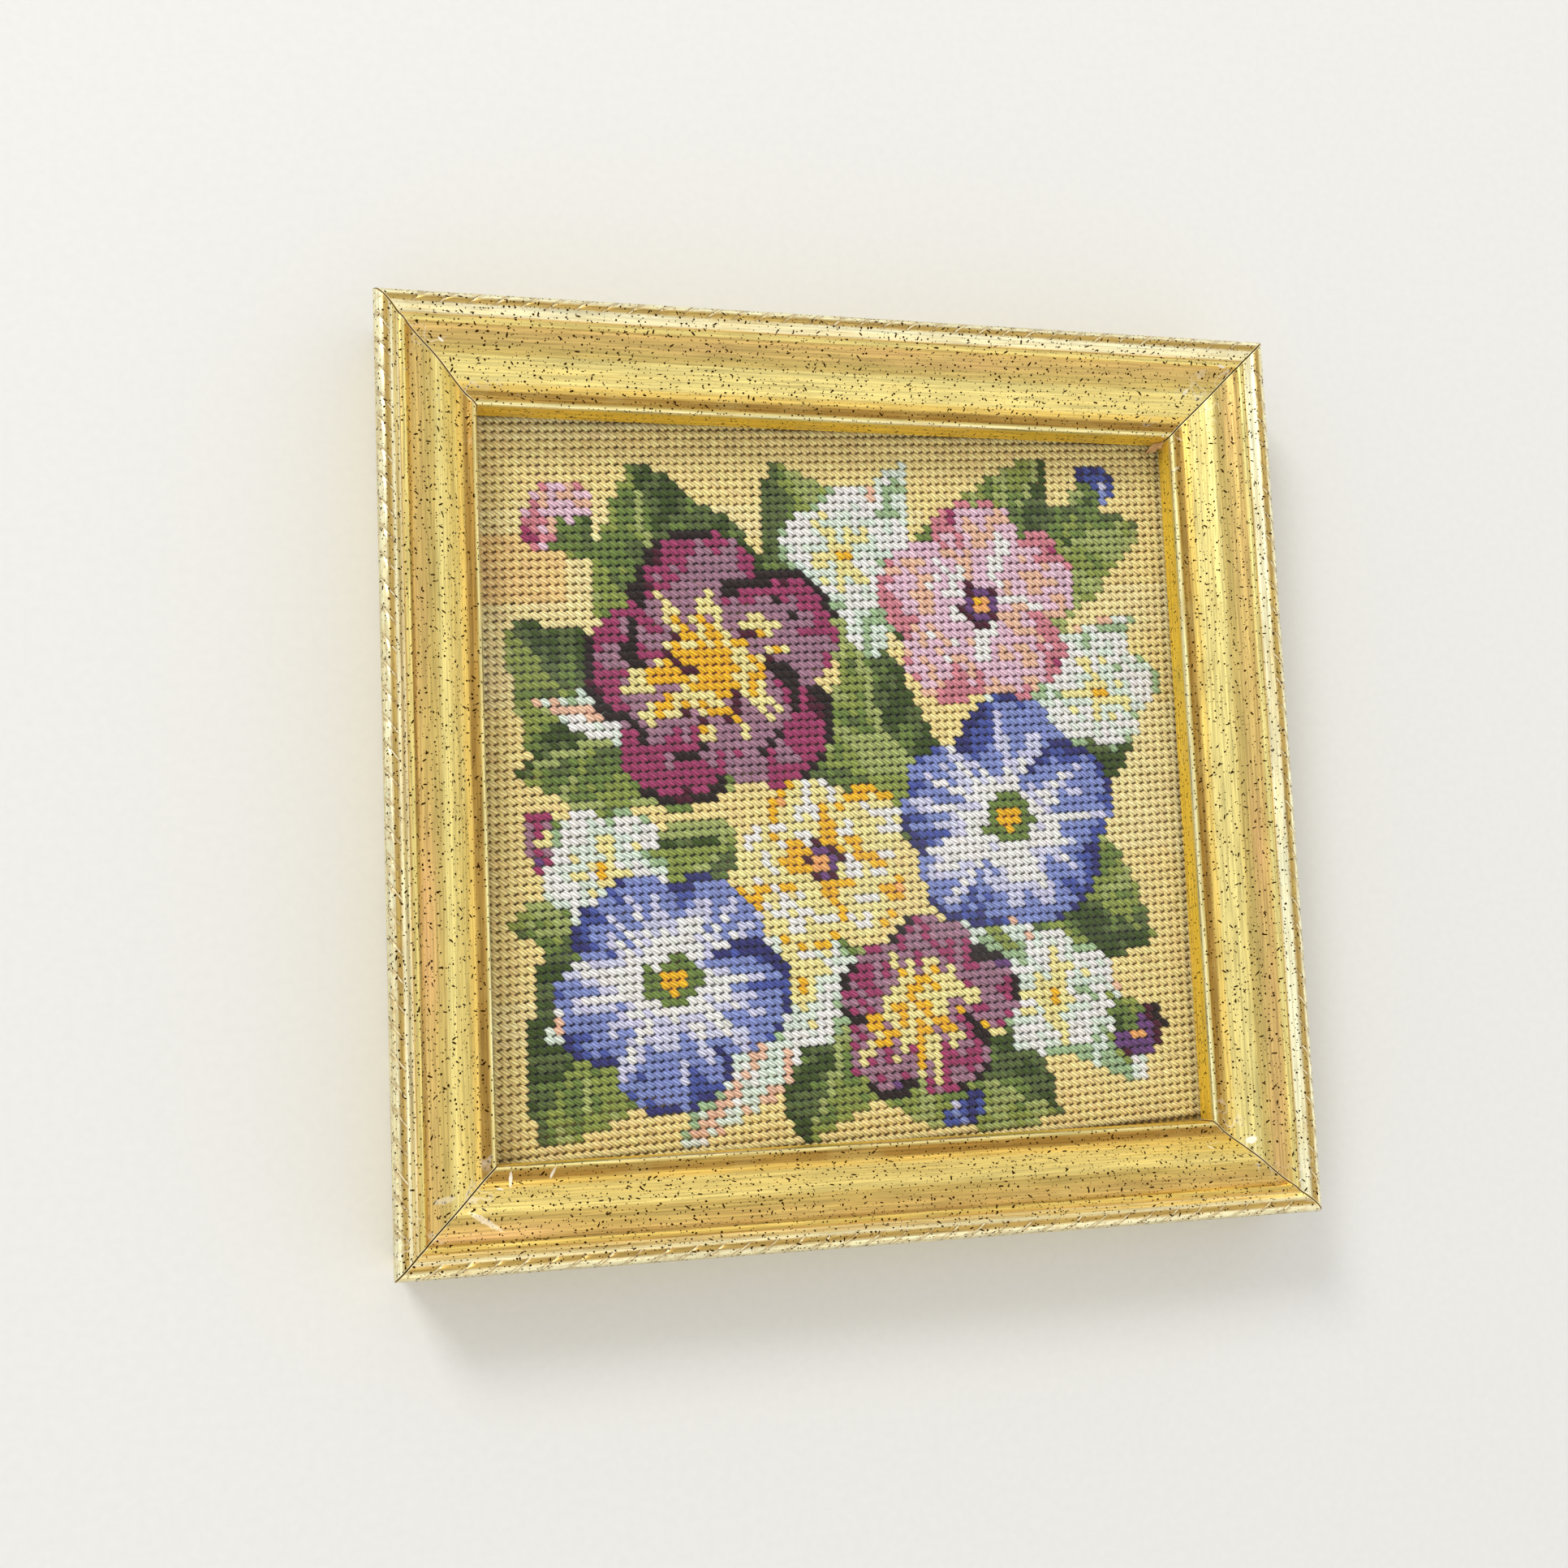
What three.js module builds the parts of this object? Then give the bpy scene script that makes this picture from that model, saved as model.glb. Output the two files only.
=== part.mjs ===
// A needlepoint canvas behind glass in a mitred, gilt picture frame with a rope-twist rim.
// Millimetres, +Z up. The panel lies on its back: its face looks up +Z, the picture's top is towards +Y, and the
// origin is under the centre of the face, at the level of the frame's flat back.
import * as THREE from 'three';

// Frame opening and moulding
const SIGHT = 212.2; // side of the square that the frame leaves open over the stitches
const RAIL_WIDTH = 27.4; // from the opening to the frame's outside
const REBATE_WIDTH = 6; // how far the lip reaches over the glass
const LIP_UNDERSIDE = 8; // height of the lip over the frame's back
const SIGHT_EDGE = 15.7; // height of the lip's inner arris
const RIM_TOP = 30.1; // height of the rope's crest, the frame's thickness
const MITRE_GAP = 0.3; // hairline between two rails at a corner
const FIT_GAP = 0.3; // play round the glass and the canvas

// Glass and canvas
const GLASS_THICKNESS = 2;
const CANVAS_THICKNESS = 2.4; // canvas mesh with the wool on both of its sides

// Rope twist on the rim
const ROPE_PITCH = 7.4; // from notch to notch along the rail
const ROPE_DEPTH = 0.55; // how deep a notch is cut
const ROPE_LEAN = 6.6; // how far a notch runs along the rail while it crosses the rim
const NOTCH_HALF_WIDTH = 0.2; // share of the pitch from a notch's bottom to the top of its side
const ROPE_END_BLEND = 9; // length over which the lean dies out towards a mitre

// Moulding section: distance out from the opening, height over the sight edge, and whether the point bears rope.
const FACE_SECTION = [
  { out: 0, rise: 0, rope: false }, // inner arris of the lip
  { out: 0.4, rise: 0.7, rope: false },
  { out: 1.2, rise: 1.1, rope: false }, // crest of the sight bead
  { out: 2, rise: 0.9, rope: false },
  { out: 2.9, rise: 0.7, rope: false }, // groove behind the bead
  { out: 4, rise: 1.1, rope: false },
  { out: 4.8, rise: 1.7, rope: false }, // foot of the swelling
  { out: 5.5, rise: 2.2, rope: false },
  { out: 7, rise: 3.6, rope: false },
  { out: 8.6, rise: 5.1, rope: false },
  { out: 10.3, rise: 6.5, rope: false },
  { out: 12.3, rise: 7.5, rope: false }, // top of the swelling
  { out: 14.2, rise: 7.9, rope: false }, // bed of the cove
  { out: 16.2, rise: 8.6, rope: false },
  { out: 17.8, rise: 9.5, rope: false },
  { out: 18.8, rise: 10.5, rope: false }, // arris over the cove
  { out: 19.3, rise: 11.3, rope: false },
  { out: 20.1, rise: 11.7, rope: false }, // crest of the thin bead
  { out: 20.8, rise: 11.5, rope: false }, // quirk under the rope
  { out: 21.5, rise: 12.1, rope: true },
  { out: 22.5, rise: 13.3, rope: true },
  { out: 23.6, rise: 14.1, rope: true },
  { out: 24.6, rise: RIM_TOP - SIGHT_EDGE, rope: true }, // crest of the rope
  { out: 25.7, rise: 14, rope: true },
  { out: 26.6, rise: 13.1, rope: true },
  { out: RAIL_WIDTH, rise: 11.1, rope: false }, // outer arris
];
const BACK_CHAMFER = 0.8; // small arris at the foot of the outer side
const BACK_SECTION = [
  { out: RAIL_WIDTH, height: BACK_CHAMFER },
  { out: RAIL_WIDTH - BACK_CHAMFER, height: 0 },
  { out: REBATE_WIDTH, height: 0 },
  { out: REBATE_WIDTH, height: LIP_UNDERSIDE },
  { out: 0, height: LIP_UNDERSIDE },
];

const GILT = { color: 0xd9b451, roughness: 0.38, metalness: 0.85 };
const CLEAR_GLASS = { color: 0xf2f5f2, roughness: 0.05, metalness: 0, transparent: true, opacity: 0.2 };
const WOOL = { color: 0xe3cc85, roughness: 0.95, metalness: 0 };

/** The closed section, from the lip's inner arris out over the face and home along the back. */
function mouldingSection() {
  const face = FACE_SECTION.map(({ out, rise, rope }) => ({ out, height: SIGHT_EDGE + rise, rope }));
  const back = BACK_SECTION.map(({ out, height }) => ({ out, height, rope: false }));
  return [...face, ...back];
}

/** Half the length of the rail along the line that lies this far out from the opening. */
function halfLength(out) {
  return SIGHT / 2 + out - (MITRE_GAP / 2) * Math.SQRT2;
}

/** Stations along the rail, as { at, cut }: place along the middle of the rope, and depth of the notch there. */
function ropeStations(reach) {
  const count = Math.floor((2 * reach) / ROPE_PITCH) - 1;
  const stations = [{ at: -reach, cut: 0 }];
  for (let notch = 0; notch < count; notch++) {
    const centre = (notch - (count - 1) / 2) * ROPE_PITCH;
    stations.push({ at: centre - NOTCH_HALF_WIDTH * ROPE_PITCH, cut: 0 });
    stations.push({ at: centre, cut: ROPE_DEPTH });
    stations.push({ at: centre + NOTCH_HALF_WIDTH * ROPE_PITCH, cut: 0 });
  }
  stations.push({ at: reach, cut: 0 });
  return stations;
}

/** Unit normal of the face at a point of the section, pointing out of the wood. */
function faceNormal(section, index) {
  const before = section[index - 1];
  const after = section[index + 1];
  const along = new THREE.Vector2(after.out - before.out, after.height - before.height).normalize();
  return new THREE.Vector2(-along.y, along.x);
}

/**
 * One rail: the section swept along X between its two mitres, its opening side towards -Y and its face up.
 * A row is the line that one point of the section draws. Rope rows have a vertex at every station, with the
 * notches pressed in; every other row has only its two ends.
 */
function railGeometry() {
  const section = mouldingSection();
  const ropeRows = section.map((point, index) => (point.rope ? index : -1)).filter((index) => index >= 0);
  const firstRope = ropeRows[0];
  const lastRope = ropeRows[ropeRows.length - 1];
  const ropeCentre = (section[firstRope].out + section[lastRope].out) / 2;
  const ropeSpan = section[lastRope].out - section[firstRope].out;
  const reach = halfLength(ropeCentre);
  const stations = ropeStations(reach);
  const positions = [];
  const addVertex = (x, out, height) => positions.push(x, out, height) / 3 - 1;

  const rows = section.map((point, index) => {
    const half = halfLength(point.out);
    if (!point.rope) {
      return [addVertex(-half, point.out, point.height), addVertex(half, point.out, point.height)];
    }
    const normal = faceNormal(section, index);
    const onBorder = index === firstRope || index === lastRope;
    const lean = (ROPE_LEAN * (point.out - ropeCentre)) / ropeSpan;
    return stations.map(({ at, cut }) => {
      const fade = Math.min(1, (reach - Math.abs(at)) / ROPE_END_BLEND);
      const stretch = Math.sign(at) * (half - reach) * (1 - fade);
      const x = at + stretch + lean * fade;
      const depth = onBorder ? 0 : cut;
      return addVertex(x, point.out - normal.x * depth, point.height - normal.y * depth);
    });
  });

  const triangles = [];
  rows.forEach((row, index) => {
    const next = rows[(index + 1) % rows.length];
    // Walk both rows from end to end, always stepping along the one that lags behind.
    let here = 0;
    let there = 0;
    while (here < row.length - 1 || there < next.length - 1) {
      const shareHere = (here + 1) / (row.length - 1);
      const shareThere = (there + 1) / (next.length - 1);
      const stepHere = there === next.length - 1 || (here < row.length - 1 && shareHere <= shareThere);
      if (stepHere) {
        triangles.push(row[here], row[here + 1], next[there]);
        here += 1;
      } else {
        triangles.push(row[here], next[there + 1], next[there]);
        there += 1;
      }
    }
  });

  const outline = section.map(({ out, height }) => new THREE.Vector2(out, height));
  const starts = rows.map((row) => row[0]);
  const ends = rows.map((row) => row[row.length - 1]);
  for (const [a, b, c] of THREE.ShapeUtils.triangulateShape(outline, [])) {
    triangles.push(starts[a], starts[c], starts[b]);
    triangles.push(ends[a], ends[b], ends[c]);
  }

  const geometry = new THREE.BufferGeometry();
  geometry.setAttribute('position', new THREE.Float32BufferAttribute(positions, 3));
  geometry.setIndex(triangles);
  return geometry;
}

/** A named mesh with a material of its own. */
function mesh(name, geometry, finish) {
  const piece = new THREE.Mesh(geometry, new THREE.MeshStandardMaterial(finish));
  piece.name = name;
  return piece;
}

/** A rail turned to its side of the opening. */
function rail(name, turn) {
  const piece = mesh(name, railGeometry(), GILT);
  const side = new THREE.Group();
  piece.position.y = SIGHT / 2;
  side.rotation.z = turn;
  side.add(piece);
  return side;
}

/** A flat sheet in the rebate, its top this far under the lip. */
function rebateSheet(name, thickness, underLip, finish) {
  const side = SIGHT + 2 * (REBATE_WIDTH - FIT_GAP);
  const sheet = mesh(name, new THREE.BoxGeometry(side, side, thickness), finish);
  sheet.position.z = LIP_UNDERSIDE - underLip - thickness / 2;
  return sheet;
}

const panel = new THREE.Group();
panel.add(rail('rail_top', 0));
panel.add(rail('rail_left', Math.PI / 2));
panel.add(rail('rail_bottom', Math.PI));
panel.add(rail('rail_right', -Math.PI / 2));
panel.add(rebateSheet('glass_pane', GLASS_THICKNESS, FIT_GAP, CLEAR_GLASS));
panel.add(rebateSheet('stitched_canvas', CANVAS_THICKNESS, 2 * FIT_GAP + GLASS_THICKNESS, WOOL));

export default panel;
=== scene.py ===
"""Framed needlepoint panel: wool flowers on canvas, behind glass, in a gilt frame with a rope-twist rim."""
import math
from functools import partial, reduce

import bpy
import numpy as np
from bpy.props import FloatProperty, FloatVectorProperty, IntProperty, PointerProperty
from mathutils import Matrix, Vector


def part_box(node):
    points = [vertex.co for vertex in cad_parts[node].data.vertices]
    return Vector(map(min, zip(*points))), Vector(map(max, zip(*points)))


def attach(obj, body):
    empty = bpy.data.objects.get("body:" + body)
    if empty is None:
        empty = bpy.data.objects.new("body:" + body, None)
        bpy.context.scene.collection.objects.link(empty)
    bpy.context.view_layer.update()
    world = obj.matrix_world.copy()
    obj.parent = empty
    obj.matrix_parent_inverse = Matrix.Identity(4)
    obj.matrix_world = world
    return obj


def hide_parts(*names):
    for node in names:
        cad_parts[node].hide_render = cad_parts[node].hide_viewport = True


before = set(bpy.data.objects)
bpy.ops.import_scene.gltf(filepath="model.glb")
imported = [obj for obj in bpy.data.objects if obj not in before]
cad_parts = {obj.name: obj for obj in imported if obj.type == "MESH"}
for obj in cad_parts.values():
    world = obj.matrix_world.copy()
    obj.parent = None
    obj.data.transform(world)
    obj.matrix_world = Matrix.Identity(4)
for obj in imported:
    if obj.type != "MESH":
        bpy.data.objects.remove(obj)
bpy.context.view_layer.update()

bl_info = {
    "name": "Framed Needlepoint Panel",
    "version": (1, 0, 0),
    "blender": (4, 5, 0),
    "location": "View3D > Sidebar > Needlepoint",
    "description": "Builds a needlepoint flower panel behind glass in a gilt rope-edged frame",
    "category": "Object",
}

MM = 0.001  # metres in a millimetre

# Levels and widths in millimetres, read from the fixed frame
RAIL_LOW, RAIL_HIGH = (np.array(corner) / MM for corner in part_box("rail_top"))
CANVAS_LOW, CANVAS_HIGH = (np.array(corner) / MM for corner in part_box("stitched_canvas"))
SIGHT_HALF = float(RAIL_LOW[1])
RAIL_WIDTH = float(RAIL_HIGH[1] - RAIL_LOW[1])
RIM_TOP = float(RAIL_HIGH[2])
CANVAS_SIDE = float(CANVAS_HIGH[0] - CANVAS_LOW[0])

# Moulding, in millimetres
SIGHT_EDGE = 15.7  # height of the lip's inner arris
LIP_UNDERSIDE = 8.0
WALL_DEPTH = SIGHT_EDGE - LIP_UNDERSIDE
REBATE_WIDTH = 6.0
BACK_CHAMFER = 0.8
MITRE_GAP = 0.3
SWELLING_AND_COVE = (  # out from the opening, and height over the sight edge
    (0.0, 0.0),  # inner arris of the lip
    (0.4, 0.7),
    (1.2, 1.1),  # crest of the sight bead
    (2.0, 0.9),
    (2.9, 0.7),  # groove behind the bead
    (4.0, 1.1),
    (4.8, 1.7),  # foot of the swelling
    (5.5, 2.2),
    (7.0, 3.6),
    (8.6, 5.1),
    (10.3, 6.5),
    (12.3, 7.5),  # top of the swelling
    (14.2, 7.9),  # bed of the cove
    (16.2, 8.6),
    (17.8, 9.5),
    (18.8, 10.5),  # arris over the cove
)
THIN_BEAD = ((18.8, 10.5), (19.3, 11.3), (20.1, 11.7), (20.8, 11.5))
ROPE_RIM = (
    (20.8, 11.5),  # quirk under the rope
    (21.5, 12.1),
    (22.5, 13.3),
    (23.6, 14.1),
    (24.6, RIM_TOP - SIGHT_EDGE),  # crest
    (25.7, 14.0),
    (26.6, 13.1),
    (RAIL_WIDTH, 11.1),  # outer arris
)
BACK_OUTLINE = (  # out from the opening, and height over the back
    (RAIL_WIDTH, 9.0),
    (RAIL_WIDTH, BACK_CHAMFER),
    (RAIL_WIDTH - BACK_CHAMFER, 0.0),
    (REBATE_WIDTH, 0.0),
    (REBATE_WIDTH, LIP_UNDERSIDE),
    (0.0, LIP_UNDERSIDE),
    (0.0, SIGHT_EDGE - 1.2),
)
PLAIN_STEP = 0.5  # between two rows of the plain part
PLAIN_COLUMNS = 48
SHARP_ANGLE = math.radians(48)
RAIL_LANE = 1000.0  # between the stretches of pattern that two rails take

# Rope rim, in millimetres
ROPE_STEP = 0.42  # between two rows
ROPE_COLUMNS_EACH = 6  # fine columns to one plain one
ROPE_SPAN = (21.5, 26.6)
ROPE_MIDDLE = sum(ROPE_SPAN) / 2
ROPE_FADE = (23.2, 24.0)  # where the notches come up out of the smooth inner side
MITRE_BLEND = 9.0  # length over which the rope's lean dies out
NOTCH_FAR = 3.7  # from here on the relief has died out
NOTCH_STATIONS = (-3.7, -2.0, -0.75, -0.36, 0.0, 0.36, 0.75, 2.0)  # columns round one notch
STATIONS_PITCH = 7.4  # the rope pitch that these are for
NOTCH_GROOVE = 0.17  # half width of the notch's sharp groove, for NOTCH_FAR
GROOVE_SHARE = 0.8  # of the depth; the rest is the round swell between notches
NOTCH_STRAY = 0.14  # how far the notches stray from an even pitch
NOTCH_STRENGTHS = (0.7, 1.1)
RELIEF_FADE = 1.5  # length over which the notches die out at the mitre
ROPE_OVERRUN = 0.5  # how far they run on past the rope's outer side

# Gilding
# Painted light and shade in the bands: the sight band and the pale bands are painted highlights on the sight
# bead and on the rope's slopes; the groove, olive, tan, seam and shade bands are painted shade in the groove
# behind the bead, on the cove, at the arris over the cove, in the quirk under the rope and beside the rope's
# crest.
RAIL_BANDS = (  # tint and the places that have it, out from the opening; the lip's wall counts as inward
    ("wall", -WALL_DEPTH, -0.6),
    ("sight", -0.2, 0.5),
    ("gilding", 0.9),
    ("groove", 1.5, 3.7),
    ("rub", 4.5, 5.3),
    ("gilding", 6.2, 11.4),
    ("olive", 12.6, 14.2),
    ("tan", 15.4, 17.3),
    ("seam_shade", 17.8, 18.7),
    ("gilding", 19.3, 20.3),
    ("seam_shade", 20.8),
    ("pale", 21.3, 23.0),
    ("shade", 23.6, 24.6),
    ("pale", 25.3, 27.1),
    ("gilding", 27.3),
)
# Tints of the bands: sight and pale are painted highlight; groove, seam, olive, tan and shade are painted
# shade.
BAND_TINTS = {
    "wall": (1.0, 0.85, 0.30),
    "sight": (1.0, 0.97, 0.76),
    "groove": (0.71, 0.56, 0.28),
    "seam_shade": (0.86, 0.73, 0.45),
    "olive": (0.88, 0.78, 0.47),
    "tan": (0.87, 0.75, 0.46),
    "shade": (0.80, 0.68, 0.39),
    "pale": (1.0, 0.98, 0.82),
}
WARM_REFLECTION_TINT = (0.93, 0.78, 0.40)  # warm tint laid over a whole rail: painted reflection
BLUSH = (0.95, 0.74, 0.50)  # bole that shows through in the cove
# Painted shade in blotches on the rope, between its lobes.
ROPE_LOBE_SHADE = (0.76, 0.60, 0.36)
# Painted shade on the flanks of each notch, and a painted highlight along it.
NOTCH_SHADE = (0.62, 0.48, 0.26)
NOTCH_HIGHLIGHT = (1.0, 0.96, 0.78)
SPECK = (0.20, 0.11, 0.01)
CHIP = (1.0, 0.95, 0.72)
JOINT = (0.26, 0.16, 0.04)
SCAR = (0.97, 0.94, 0.86)
RAIL_PAINTED_WARMTH = {"top": 0.2, "left": 0.15, "bottom": 0.62, "right": 0.0}  # painted reflection: how much each rail is warmed, for the way it faces the room's light

# Where the gilding changes, in millimetres: out from the opening, then from a notch, then from the mitre
WALL_EDGE = (-0.6, -0.3)
COVE_START = (13.0, 16.5)
COVE_END = (17.6, 18.8)
WARMTH_FULL = (18.8, 19.6)
WARMTH_FADE = (21.6, 23.4)
ROPE_START = (22.4, 23.2)
ROPE_END = (27.1, 27.3)
NOTCH_HIGHLIGHT_EDGE = (0.42, 0.65)
NOTCH_SHADE_EDGE = (0.7, 1.5)
JOINT_EDGE = (0.05, 0.18)
CHIP_EDGE = (0.2, 0.8)
CORNER_EDGE = (5.0, 16.0)

SPECKS = (  # cell, half length and half width of a speck, share of the cells that hold one
    (3.4, 0.8, 0.26, 0.5),
    (1.9, 0.38, 0.32, 0.6),
    (1.4, 0.25, 0.21, 0.5),
)
SPECK_SHIFT = (0.37, 0.11, 0.0)  # metres from one layer's pattern to the next
SCUFFS = (11.0, 1.5, 0.45, 0.3)  # like a layer of specks, for the pale knocks near the corners
SCUFF_SHIFT = (0.7, 0.9, 0.0)
WORN_SPOTS = (  # place on the face, half length, half width, turn in degrees, strength
    (115.4, -111.8, 1.5, 1.0, 35, 1.0),
    (-102.6, -109.7, 2.2, 0.45, 85, 0.8),
    (-91.2, -108.6, 1.6, 0.4, 60, 0.7),
    (-109.8, -119.8, 5.0, 0.8, -32, 0.45),
    (-120.0, -113.6, 3.0, 0.9, 7, 0.35),
    (109.0, 118.0, 1.0, 0.6, 50, 0.6),
)
TORN_FLAKE = (  # outline of the flake that hangs in the top right corner, in millimetres
    (106.0, 105.9, 12.6),
    (104.9, 105.9, 11.2),
    (103.3, 105.8, 10.2),
    (102.3, 104.6, 9.4),
    (100.9, 102.9, 8.5),
    (102.9, 103.9, 8.7),
    (104.3, 103.7, 9.2),
    (105.1, 104.4, 9.9),
    (105.9, 104.3, 10.9),
)
FLAKE_CROWN = (0.1, 0.3, 0.35)  # how far the flake's middle stands out of its outline
FLAKE_BACK = 0.108  # from its front to its back, along each axis
PINE_GRAIN = ((0.3, (0.66, 0.50, 0.33)), (0.5, (0.80, 0.65, 0.45)), (0.7, (0.87, 0.74, 0.55)))
PINE_RINGS = (0.70, 0.52, 0.33)

# Wool and canvas, in millimetres
CANVAS_LEVEL = 4.0  # middle of the canvas mesh
CANVAS_HALF_THICK = 0.14
BARE_CANVAS = (0.90, 0.86, 0.74)
# Painted shade in the holes between stitches:
HOLE_SHADE_OF_WOOL = (1.8, 0.6)  # the canvas between stitches: power and share of the wool's colour
STITCH_MARGIN = 3.1  # how far the stitching runs on under the lip
CHART_HALF = 44  # holes from the chart's middle to its edge
ROW_RISE = math.radians(3.0)  # the canvas was mounted a little askew
COLUMN_LEAN = math.radians(0.9)
CANVAS_SHIFT = (1.17, 1.55)
STITCH_SLANT = math.radians(-45) + (ROW_RISE + COLUMN_LEAN) / 2
BACK_SLANT = math.radians(-28)
STITCH_SINK = CANVAS_LEVEL + 0.12  # where the wool dives into the canvas
BACK_SINK = CANVAS_LEVEL - 0.2
STITCH_REACH = 0.97  # length of a stitch, for the slant from hole to hole
BACK_REACH = 2.0  # length and width of a stitch on the back, for the pitch
BACK_WIDTH = 0.52
BACK_HEIGHT = 0.62
BACK_LEVEL = 0.42  # its middle, over the canvas's lowest point
MOST_SWELL = 0.06  # how much higher than the others a stitch can be, for its height
STITCH_CLEARANCE = 0.02  # left over the highest stitch
STITCH_SPREADS = {  # how far the handwork strays: millimetres, radians, then shares
    "place": 0.045,
    "slant": 0.05,
    "length": 0.02,
    "width": 0.04,
    "height": 0.03,
    "lightness": 0.05,
    "hue": 0.012,
}
BACK_SPREADS = {
    "place": 0.08,
    "slant": 0.07,
    "length": 0.06,
    "width": 0.03,
    "height": 0.03,
    "lightness": 0.07,
}
STITCH_SHADES = (0.2, 0.55, 0.48)  # light between the stitches, and what a stitch's rise and height add to it
DARKEST_SHADE = 0.32
STITCH_RINGS = (  # share of the length, share of the rise, share of the girth
    (0.05, 0.0, 0.6),
    (0.17, 0.82, 0.9),
    (0.5, 1.0, 1.0),
    (0.83, 0.86, 0.98),
    (0.95, 0.0, 0.76),
)
STITCH_SECTION = (  # across and up, in halves of the wool's width and height; three plies show on top
    (1.0, -0.2),
    (0.7, 0.66),
    (0.36, 0.7),
    (0.0, 1.0),
    (-0.36, 0.7),
    (-0.7, 0.66),
    (-1.0, -0.2),
    (-0.7, -0.8),
    (0.7, -0.8),
)
PLY_LEAN = 0.3  # how far the plies wander across the stitch, in halves of its width
END_SKEW = 0.27  # how much further one edge of the stitch reaches than its middle, for its distance across
PLY_SPACING = 0.85  # from ply to ply, in halves of the wool's width
BACK_RINGS = ((0.16, 1.0, 0.8), (0.84, 1.0, 0.8))
BACK_SECTION = ((0.7, 0.7), (-0.7, 0.7), (-0.7, -0.7), (0.7, -0.7))

YARNS = {  # sRGB colour of each wool
    "cream": (0.95, 0.855, 0.585),
    "pale_cream": (0.955, 0.875, 0.635),
    "warm_cream": (0.94, 0.80, 0.54),
    "pale_yellow": (0.94, 0.88, 0.60),
    "gold": (0.94, 0.71, 0.14),
    "apricot": (0.93, 0.66, 0.40),
    "peach": (0.91, 0.73, 0.62),
    "mint_white": (0.85, 0.90, 0.84),
    "snow": (0.93, 0.92, 0.90),
    "lavender": (0.80, 0.80, 0.90),
    "periwinkle": (0.51, 0.56, 0.78),
    "cornflower": (0.29, 0.34, 0.62),
    "navy": (0.21, 0.21, 0.44),
    "violet": (0.42, 0.27, 0.48),
    "mauve": (0.63, 0.47, 0.54),
    "lilac_pink": (0.88, 0.74, 0.80),
    "rose": (0.81, 0.51, 0.55),
    "raspberry": (0.62, 0.24, 0.40),
    "maroon": (0.30, 0.10, 0.17),
    "black_brown": (0.16, 0.11, 0.10),
    "light_olive": (0.64, 0.68, 0.41),
    "moss": (0.55, 0.60, 0.29),
    "leaf_green": (0.43, 0.51, 0.25),
    "teal_green": (0.36, 0.42, 0.23),
    "dark_green": (0.25, 0.32, 0.13),
    "sage": (0.62, 0.72, 0.55),
}
YARN_ORDER = list(YARNS)

PALETTES = {  # yarns from a petal's base to its rim, or from a leaf's dark side to its light side
    "greens": "dark_green teal_green leaf_green moss light_olive",
    "sunny_greens": "light_olive moss leaf_green teal_green dark_green",
    "mints": "sage mint_white snow mint_white peach",
    "whites": "pale_yellow mint_white snow snow mint_white sage",
    "blues": "snow snow lavender periwinkle periwinkle cornflower cornflower navy",
    "night_blues": "lavender periwinkle cornflower cornflower navy navy",
    "crimson_outer": "gold mauve mauve raspberry raspberry raspberry maroon",
    "crimson_inner": "gold pale_yellow mauve mauve raspberry raspberry",
    "crimson_heart": "gold pale_yellow gold mauve raspberry",
    "crimson_small": "gold pale_yellow mauve raspberry mauve raspberry violet",
    "pinks": "snow lilac_pink peach lilac_pink rose rose raspberry",
    "yellows": "gold pale_yellow snow pale_yellow pale_yellow gold apricot",
    "plums": "apricot violet violet maroon black_brown",
    "gold_heart": "gold pale_yellow",
    "green_heart": "gold leaf_green",
    "plum_heart": "gold apricot violet maroon",
}

PIECES = (  # the joined pieces of stitching, by the motif that they belong to
    "wool_ground_upper",
    "wool_ground_lower",
    "wool_green_leaves",
    "wool_white_sprays",
    "wool_blue_blooms",
    "wool_crimson_blooms",
    "wool_pink_bloom",
    "wool_yellow_bloom",
)
GROUND, GROUND_LOWER, GREEN, PALE, BLUE, CRIMSON, PINK, YELLOW = range(len(PIECES))

# Picture, in stitches from the chart's middle
BOUQUET_SCALE = 0.94  # the sizes and places below are for a bouquet that fills the opening
BOUQUET_SHIFT = (-1.0, -1.5)
LOT_SEED = 97
PATCH_RIGHT = -33.0  # the ground has a patch of another dye lot beside the left rail
PATCH_ROWS = (21.5, 30.5)

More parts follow.
